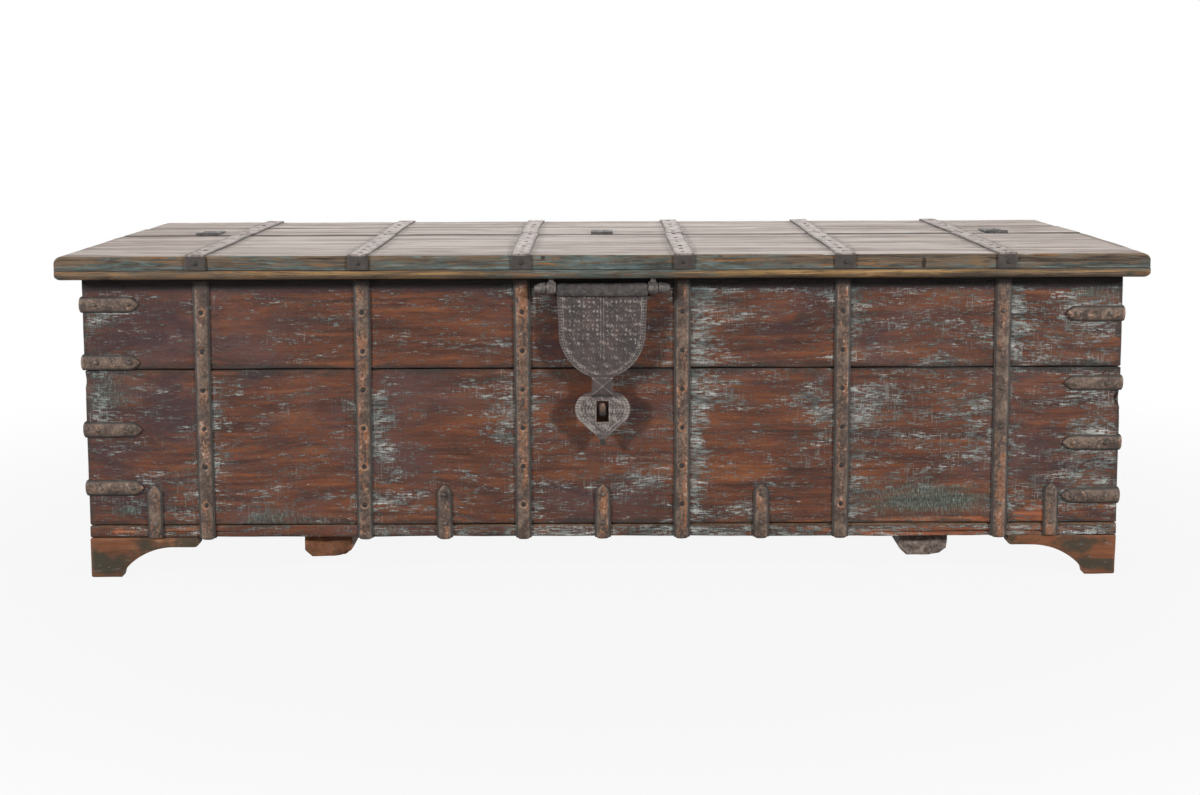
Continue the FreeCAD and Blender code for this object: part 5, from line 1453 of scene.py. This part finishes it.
for name, shells in (("fixed_hinge_leaves", fixed_leaves), ("flap_hinge_leaves", flap_leaves),
                     ("hinge_pins", pins)):
    piece(name, shells, HASP_IRON)

# %% [markdown]
# The hasp is beaten from one plate: a shield, a neck like a small cushion and a slotted heart. A smith
# cuts the outline from sheet. Here it is a half width at each height, and the plate is a grid whose columns
# follow it and bend round the slot, so that the slot's edges are clean. Sizes are in millimetres, below
# the hasp's pin.

# %% Hasp outline


def arc_width(z, start, end, radius):
    """Half width at a height on the circle of a radius through two points, bulging outwards."""
    (x0, z0), (x1, z1) = start, end
    chord = math.hypot(x1 - x0, z1 - z0)
    rise = math.sqrt(radius ** 2 - chord ** 2 / 4)
    cx = (x0 + x1) / 2 + rise * (z1 - z0) / chord
    cz = (z0 + z1) / 2 - rise * (x1 - x0) / chord
    return cx + np.sqrt(np.maximum(radius ** 2 - (z - cz) ** 2, 0))


def half_width(z):
    """Half width of the plate, in millimetres, at a height below the hasp's pin."""
    shield = np.where(z > -59, 66.5 - 2.5 * (z + 6) / -53, arc_width(z, (64, -59), (16, -132), 71))
    heart = np.where(z > -201, arc_width(z, (16, -154), (30, -201), 26), 30 - 26 * (z + 201) / -24)
    finial = 1.4 + 2.7 * np.sqrt(np.clip(1 - ((z + 229.6) / 4.6) ** 2, 0, 1))
    neck = 16 - 1.6 * np.sin((z + 132) / -22 * math.pi)
    width = np.where(z > -132, shield, np.where(z > -154, neck, heart))
    return np.where(z > -225, np.maximum(width, 3.6), np.maximum(finial, 1.8))


SLOT_HALF, SLOT_TOP, SLOT_LOW, SLOT_SHARE = 9.0, -168.0, -199.0, 0.34
PLATE_TOP, PLATE_LOW, NECK_TOP, NECK_LOW = -10, -234, -132, -154
COLUMNS, ROW_STEP = 121, 1.0
rows_z = np.unique(np.r_[np.arange(PLATE_TOP, PLATE_LOW, -ROW_STEP), PLATE_LOW, SLOT_TOP, SLOT_LOW,
                         NECK_TOP, NECK_LOW])[::-1]
column = np.linspace(-1, 1, COLUMNS)
at_slot = np.abs(np.abs(column) - SLOT_SHARE) < 0.009
column[at_slot] = np.sign(column[at_slot]) * SLOT_SHARE
outline = half_width(rows_z)
in_slot = ease(rows_z, SLOT_LOW - 12, SLOT_LOW) * (1 - ease(rows_z, SLOT_TOP, SLOT_TOP + 8))
inner = (SLOT_SHARE * outline * (1 - in_slot) + SLOT_HALF * in_slot)[:, None]
across = np.abs(column)[None]
x_mm = np.sign(column)[None] * np.where(
    across <= SLOT_SHARE, across / SLOT_SHARE * inner,
    inner + (across - SLOT_SHARE) / (1 - SLOT_SHARE) * (outline[:, None] - inner))
z_mm = np.broadcast_to(rows_z[:, None], x_mm.shape)
print("hasp grid:", x_mm.shape, "over", PLATE_TOP - PLATE_LOW, "mm")

# %% [markdown]
# The face is chased with punches: border lines, milled ticks along the rim, dots in two panels and a cross
# on the neck. Each is a height over the grid, worked out from the distance to the rim, to the slot or to the
# nearest dot, and the heights are added up. A little sag bends the whole plate, as old sheet is bent.

# %% Hasp relief
DOT_PITCH, TICK_PITCH, HEART_PITCH = 6.9, 4.4, 4.2
flat_mm = np.stack([x_mm, z_mm], -1)
slope = np.gradient(outline, rows_z)
rim = (outline[:, None] - np.abs(x_mm)) / np.sqrt(1 + np.clip(slope, -3, 3) ** 2)[:, None]
travel = np.r_[0, np.cumsum(np.hypot(np.diff(rows_z), np.diff(outline)))][:, None]
ticks = 0.5 + 0.5 * np.cos(travel * 2 * math.pi / TICK_PITCH)
speckle = 0.42 * np.clip(ripple(flat_mm, 1.5, 23, 2), 0, 1) * ease(rim, 3, 6)

milled = ticks * bell(rim - 4.6, 1.9) * 0.55 + ticks * bell(rim, 1.1) * 0.4
lines = bell(rim - 1.6, 0.55) + bell(rim - 7.8, 0.7) + 0.8 * bell(rim - 10.2, 0.5)
centre = (bell(x_mm - 2.3, 0.6) + bell(x_mm + 2.3, 0.6)) * (1 - ease(-z_mm, 104, 112)) * (rim > 9)
dot_u = np.abs(x_mm) - 3.4 + 0.8 * ripple(flat_mm, 14, 21)
dot_v = z_mm + 3 + 0.8 * ripple(flat_mm, 14, 22)
dot_away = np.hypot(np.mod(dot_u, DOT_PITCH) - DOT_PITCH / 2, np.mod(dot_v, DOT_PITCH) - DOT_PITCH / 2)
dot_key = np.floor(dot_u / DOT_PITCH) * 7.0 + np.floor(dot_v / DOT_PITCH) * 13.0 + np.sign(x_mm) * 5.0
dot_size = 0.15 + 0.85 * np.mod(np.abs(np.sin(dot_key * 12.9898) * 43758.5), 1.0)
dot_fade = 0.5 + 0.5 * ease(z_mm, -105, -60)
dots = dot_size * dot_fade * bell(dot_away, 1.7) * ease(rim, 11.0, 13.0) * (np.abs(x_mm) > 5)
shield_relief = 0.55 * lines + milled + 0.5 * centre + 0.75 * dots + speckle

heart_ticks = 0.5 + 0.5 * np.cos(travel * 2 * math.pi / HEART_PITCH)
heart_dots = 0.5 * bell(np.mod(rim, 5.0) - 2.5, 0.9) * heart_ticks
slot_middle, slot_reach = (SLOT_TOP + SLOT_LOW) / 2, (SLOT_TOP - SLOT_LOW) / 2
slot_gap = np.hypot(np.maximum(np.abs(x_mm) - SLOT_HALF, 0),
                    np.maximum(np.abs(z_mm - slot_middle) - slot_reach, 0))
rim_wear = 0.55 + 0.45 * ripple(flat_mm, 9, 25).clip(-1, 1)
heart_relief = (rim_wear * ticks * bell(rim - 2.0, 2.8) + 0.2 * bell(rim - 6.2, 0.6)
                + 0.7 * heart_dots * (slot_gap > 3) + 0.3 * bell(slot_gap - 1.4, 0.7)
                + speckle) * (1 - ease(-z_mm, 212, 222))

u, v = x_mm / 16, (z_mm + 145.5) / 13.5
cushion = 2.1 * np.sqrt(np.clip(1 - u ** 2, 0, 1)) * np.sqrt(np.clip(1 - v ** 2, 0, 1))
cross = 0.6 * (bell(u - v, 0.09) + bell(u + v, 0.09)) + 0.5 * bell(z_mm + 133.6, 0.8)
on_shield, on_heart = 1 - ease(-z_mm, 127, 131), ease(-z_mm, 159, 163)
on_neck = 1 - ease(np.abs(v), 0.86, 1.0)
relief = 1.25 * shield_relief * on_shield + 1.2 * heart_relief * on_heart + on_neck * (cushion + cross)
sag = 0.9 * ripple(flat_mm, 45, 3) + 0.22 * ripple(flat_mm, 5, 4)
lift = (relief + np.clip(sag, -0.8, 0.5)) * ease(-z_mm, 10, 13)
raised = np.clip(relief * (1 - on_neck) + on_neck * cross + 0.32 * on_heart, 0, 1.2).ravel()
# Painted shadow of the neck's cushion on the heart: a dark line just below the neck.
neck_shadow = 1.2 * bell(z_mm + 160.5, 2.3) * (1 - ease(np.abs(x_mm), 14, 19))
# The darkening past 222 mm is painted shade on the finial.
dark_rim_and_shade = np.maximum(np.maximum(0.35 * bell(rim, 1.6), ease(-z_mm, 222, 227)), neck_shadow).ravel()
print("relief up to", round(float(relief.max()), 2), "mm")

# %% [markdown]
# The grid's quads inside the slot are left out, and the rest becomes a sheet. Solidify gives it a
# thickness, and repeats the relief behind, as beating does. Its finish is rubbed pale on what stands up.

# %% Hasp plate
HASP_FRONT = HASP_Y - 0.0019
plate = np.stack([x_mm / 1000, HASP_FRONT - lift / 1000, HASP_Z + z_mm / 1000], -1)
quads = grid_faces(len(rows_z), COLUMNS)
middle_x, middle_z = x_mm.ravel()[quads].mean(1), z_mm.ravel()[quads].mean(1)
opening = (np.abs(middle_x) < SLOT_HALF) & (middle_z < SLOT_TOP) & (middle_z > SLOT_LOW)
used, quads = np.unique(quads[~opening][:, ::-1], return_inverse=True)
plate_part = part(plate.reshape(-1, 3)[used], quads.reshape(-1, 4), edge=dark_rim_and_shade[used], raised=raised[used])


def hasp_face_iron():
    """The hasp's plate: dark grey iron, brown in the hollows, rubbed pale on what stands up, dark at its rim,
    and with painted shade under the neck and on the finial.
    """
    f = Finish("hasp_face_iron")
    place = f.node("ShaderNodeTexCoord", {}).outputs["Object"]
    raised, edge = f.read("raised"), f.read("edge")
    blotch = f.noise(place, (38, 38, 38), 6, 0.68, 0.4)
    fine = f.noise(place, (330, 330, 330), 5, 0.7)
    pits = f.noise(place, (900, 900, 900), 3, 0.6)
    colour = f.ramp(f.add((0.55, blotch), (0.45, fine)), (0.34, "1f1b1b"), (0.45, "342c2b"), (0.54, "443a38"),
                    (0.66, "5a4f4c"))
    colour = f.over(colour, "57403a", f.step(blotch, 0.52, 0.68), 0.5)
    rubbed = f.step(f.add((0.70, raised), (0.55, fine)), 0.40, 0.92)
    colour = f.over(colour, "9a918a", rubbed, 0.80)
    colour = f.over(colour, "2a2627", f.step(f.add((0.5, pits), (0.5, fine)), 0.56, 0.66), 0.5)
    # Dark where edge is high: the rim, and painted shade under the neck and on the finial.
    colour = f.over(colour, "171211", f.step(edge, 0.2, 1.0), 0.85)
    height = f.add((0.4, blotch), (0.5, fine), (0.5, pits))
    return f.finish(colour, f.add((0.42, 1.0), (0.22, fine)), height, 0.0012, metallic=0.12, gloss=0.4)


hasp_plate = piece("hasp_plate", [plate_part], hasp_face_iron())
thickness = hasp_plate.modifiers.new("plate", "SOLIDIFY")
thickness.thickness = 0.0030
thickness.offset = -1.0
thickness.use_even_offset = False

# %% [markdown]
# The barrel is the plate's top rolled round the pin, and three rivets close it. Rolling by hand leaves it
# more square than round, so its section is a circle pushed towards a square, carried along X.

# %% Barrel


def bar_along_x(section, xs, swell, centre, seed, dent):
    """A closed section of (y, z) carried along X and scaled by swell at each place."""
    shape = section[None] * swell[:, None, None]
    flat_shape = np.concatenate([np.zeros(shape.shape[:2] + (1,)), shape], -1)
    points = flat_shape + xs[:, None, None] * np.array([1.0, 0, 0]) + np.array([0, *centre])
    inward = -flat_shape / np.linalg.norm(flat_shape, axis=-1, keepdims=True)
    points = points + inward * (dent * dents(points, 0.016, seed))[..., None]
    flat = points.reshape(-1, 3)
    return part(flat, tube_faces(len(xs), len(section)),
                **iron_reads(flat, 0.2 + 0.2 * ripple(flat, 0.03, seed + 1)))


def squared(wave):
    """A sine or cosine raised to a power below 1, which turns a circle into a rounded square."""
    return np.sign(wave) * np.abs(wave) ** 0.62


BARREL_HALF, BARREL_DEEP, BARREL_TALL, BARREL_DROP = 0.067, 0.0079, 0.01015, 0.00275
PIN_LINE = (HASP_Y, HASP_Z)
barrel_angle = np.linspace(0, 2 * math.pi, 48, endpoint=False)
barrel_section = np.stack([BARREL_DEEP * squared(np.cos(barrel_angle)),
                           -BARREL_DROP + BARREL_TALL * squared(np.sin(barrel_angle))], 1)
barrel_x = np.r_[-BARREL_HALF, -0.0665, -0.0655, np.linspace(-0.063, 0.063, 90), 0.0655, 0.0665, BARREL_HALF]
barrel_swell = 0.90 + 0.10 * ease(BARREL_HALF - np.abs(barrel_x), 0, 0.0035)
barrel = bar_along_x(barrel_section, barrel_x, barrel_swell, PIN_LINE, 90, 0.0007)
piece("hasp_barrel", [barrel], HASP_IRON)
rivets = [((x, HASP_Y - BARREL_DEEP, HASP_Z - 0.0095), TO_FRONT) for x in (-0.052, 0.0, 0.052)]
piece("hasp_rivets", [nail_heads(*zip(*rivets), 0.0030, 0.0016, 12, dark=0.5)], HASP_IRON)

# %% [markdown]
# The pin ends in two cone-like heads, and two eyes driven up into the lid hold it. Both are turned about
# the pin's line, and each eye has a square prong that goes up into the wood.

# %% Pin and eyes
PIN_HALF = 0.09975
head = np.array([(0.0, 0.0034), (0.0010, 0.0050), (0.004, 0.0066), (0.008, 0.0078), (0.0125, 0.0083),
                 (0.0158, 0.0084), (0.017, 0.0080), (0.017, 0.0050)])
pin_x = np.r_[-PIN_HALF + head[:, 0], (PIN_HALF - head[:, 0])[::-1]]
pin_r = np.r_[head[:, 1], head[::-1, 1]]
piece("hasp_pin", [turned(pin_x, pin_r, PIN_LINE, 95, False, 0.0003)], EYE_IRON_LIGHTENED)

EYE_LENGTH, PRONG_HALF, PRONG_TOP = 0.014, 0.004, 0.470
EYE_PROFILE = np.array([(0, 0.0052), (0, 0.0080), (0.0012, 0.0093), (0.004, 0.0099), (0.007, 0.0100),
                        (0.010, 0.0099), (0.0128, 0.0093), (EYE_LENGTH, 0.0080), (EYE_LENGTH, 0.0052)])
for name, start in (("left_hasp_eye", -0.08175), ("right_hasp_eye", 0.06775)):
    middle = start + EYE_LENGTH / 2
    eye = turned(start + EYE_PROFILE[:, 0], EYE_PROFILE[:, 1], PIN_LINE, 97, True, 0.0004)
    prong = metal_box((middle - PRONG_HALF, HASP_Y - PRONG_HALF, HASP_Z + 0.006),
                      (middle + PRONG_HALF, HASP_Y + PRONG_HALF, PRONG_TOP), 0.0015, 98, METAL_STEP)
    piece(name, [eye, prong], EYE_IRON_LIGHTENED)

# %% [markdown]
# A staple in the wall stands in the slot of the heart, where a padlock would close it. It is a round bar
# bent twice, so it is a strap too, with a round section.

# %% Staple
STAPLE_TOP, STAPLE_LOW, STAPLE_BACK, STAPLE_NOSE = 0.263, 0.2495, -0.283, -0.310
staple_line = [(STAPLE_BACK, STAPLE_TOP), (STAPLE_NOSE, STAPLE_TOP), (STAPLE_NOSE, STAPLE_LOW),
               (STAPLE_BACK, STAPLE_LOW)]
staple = strap(staple_line, "yz", 0.0, 0.0064, 0.0048, ROUND_BAR, 130, tint=0.1, step=0.002, arc=0.0006,
               dent=0.0003)
# Painted shade on the staple in the slot: dark all over, and darker towards its bottom.
staple["attributes"]["hollow"] = 0.30 + 0.28 * ease(staple["points"][:, 2], STAPLE_TOP, STAPLE_LOW)
piece("staple", [staple], BAND_IRON)
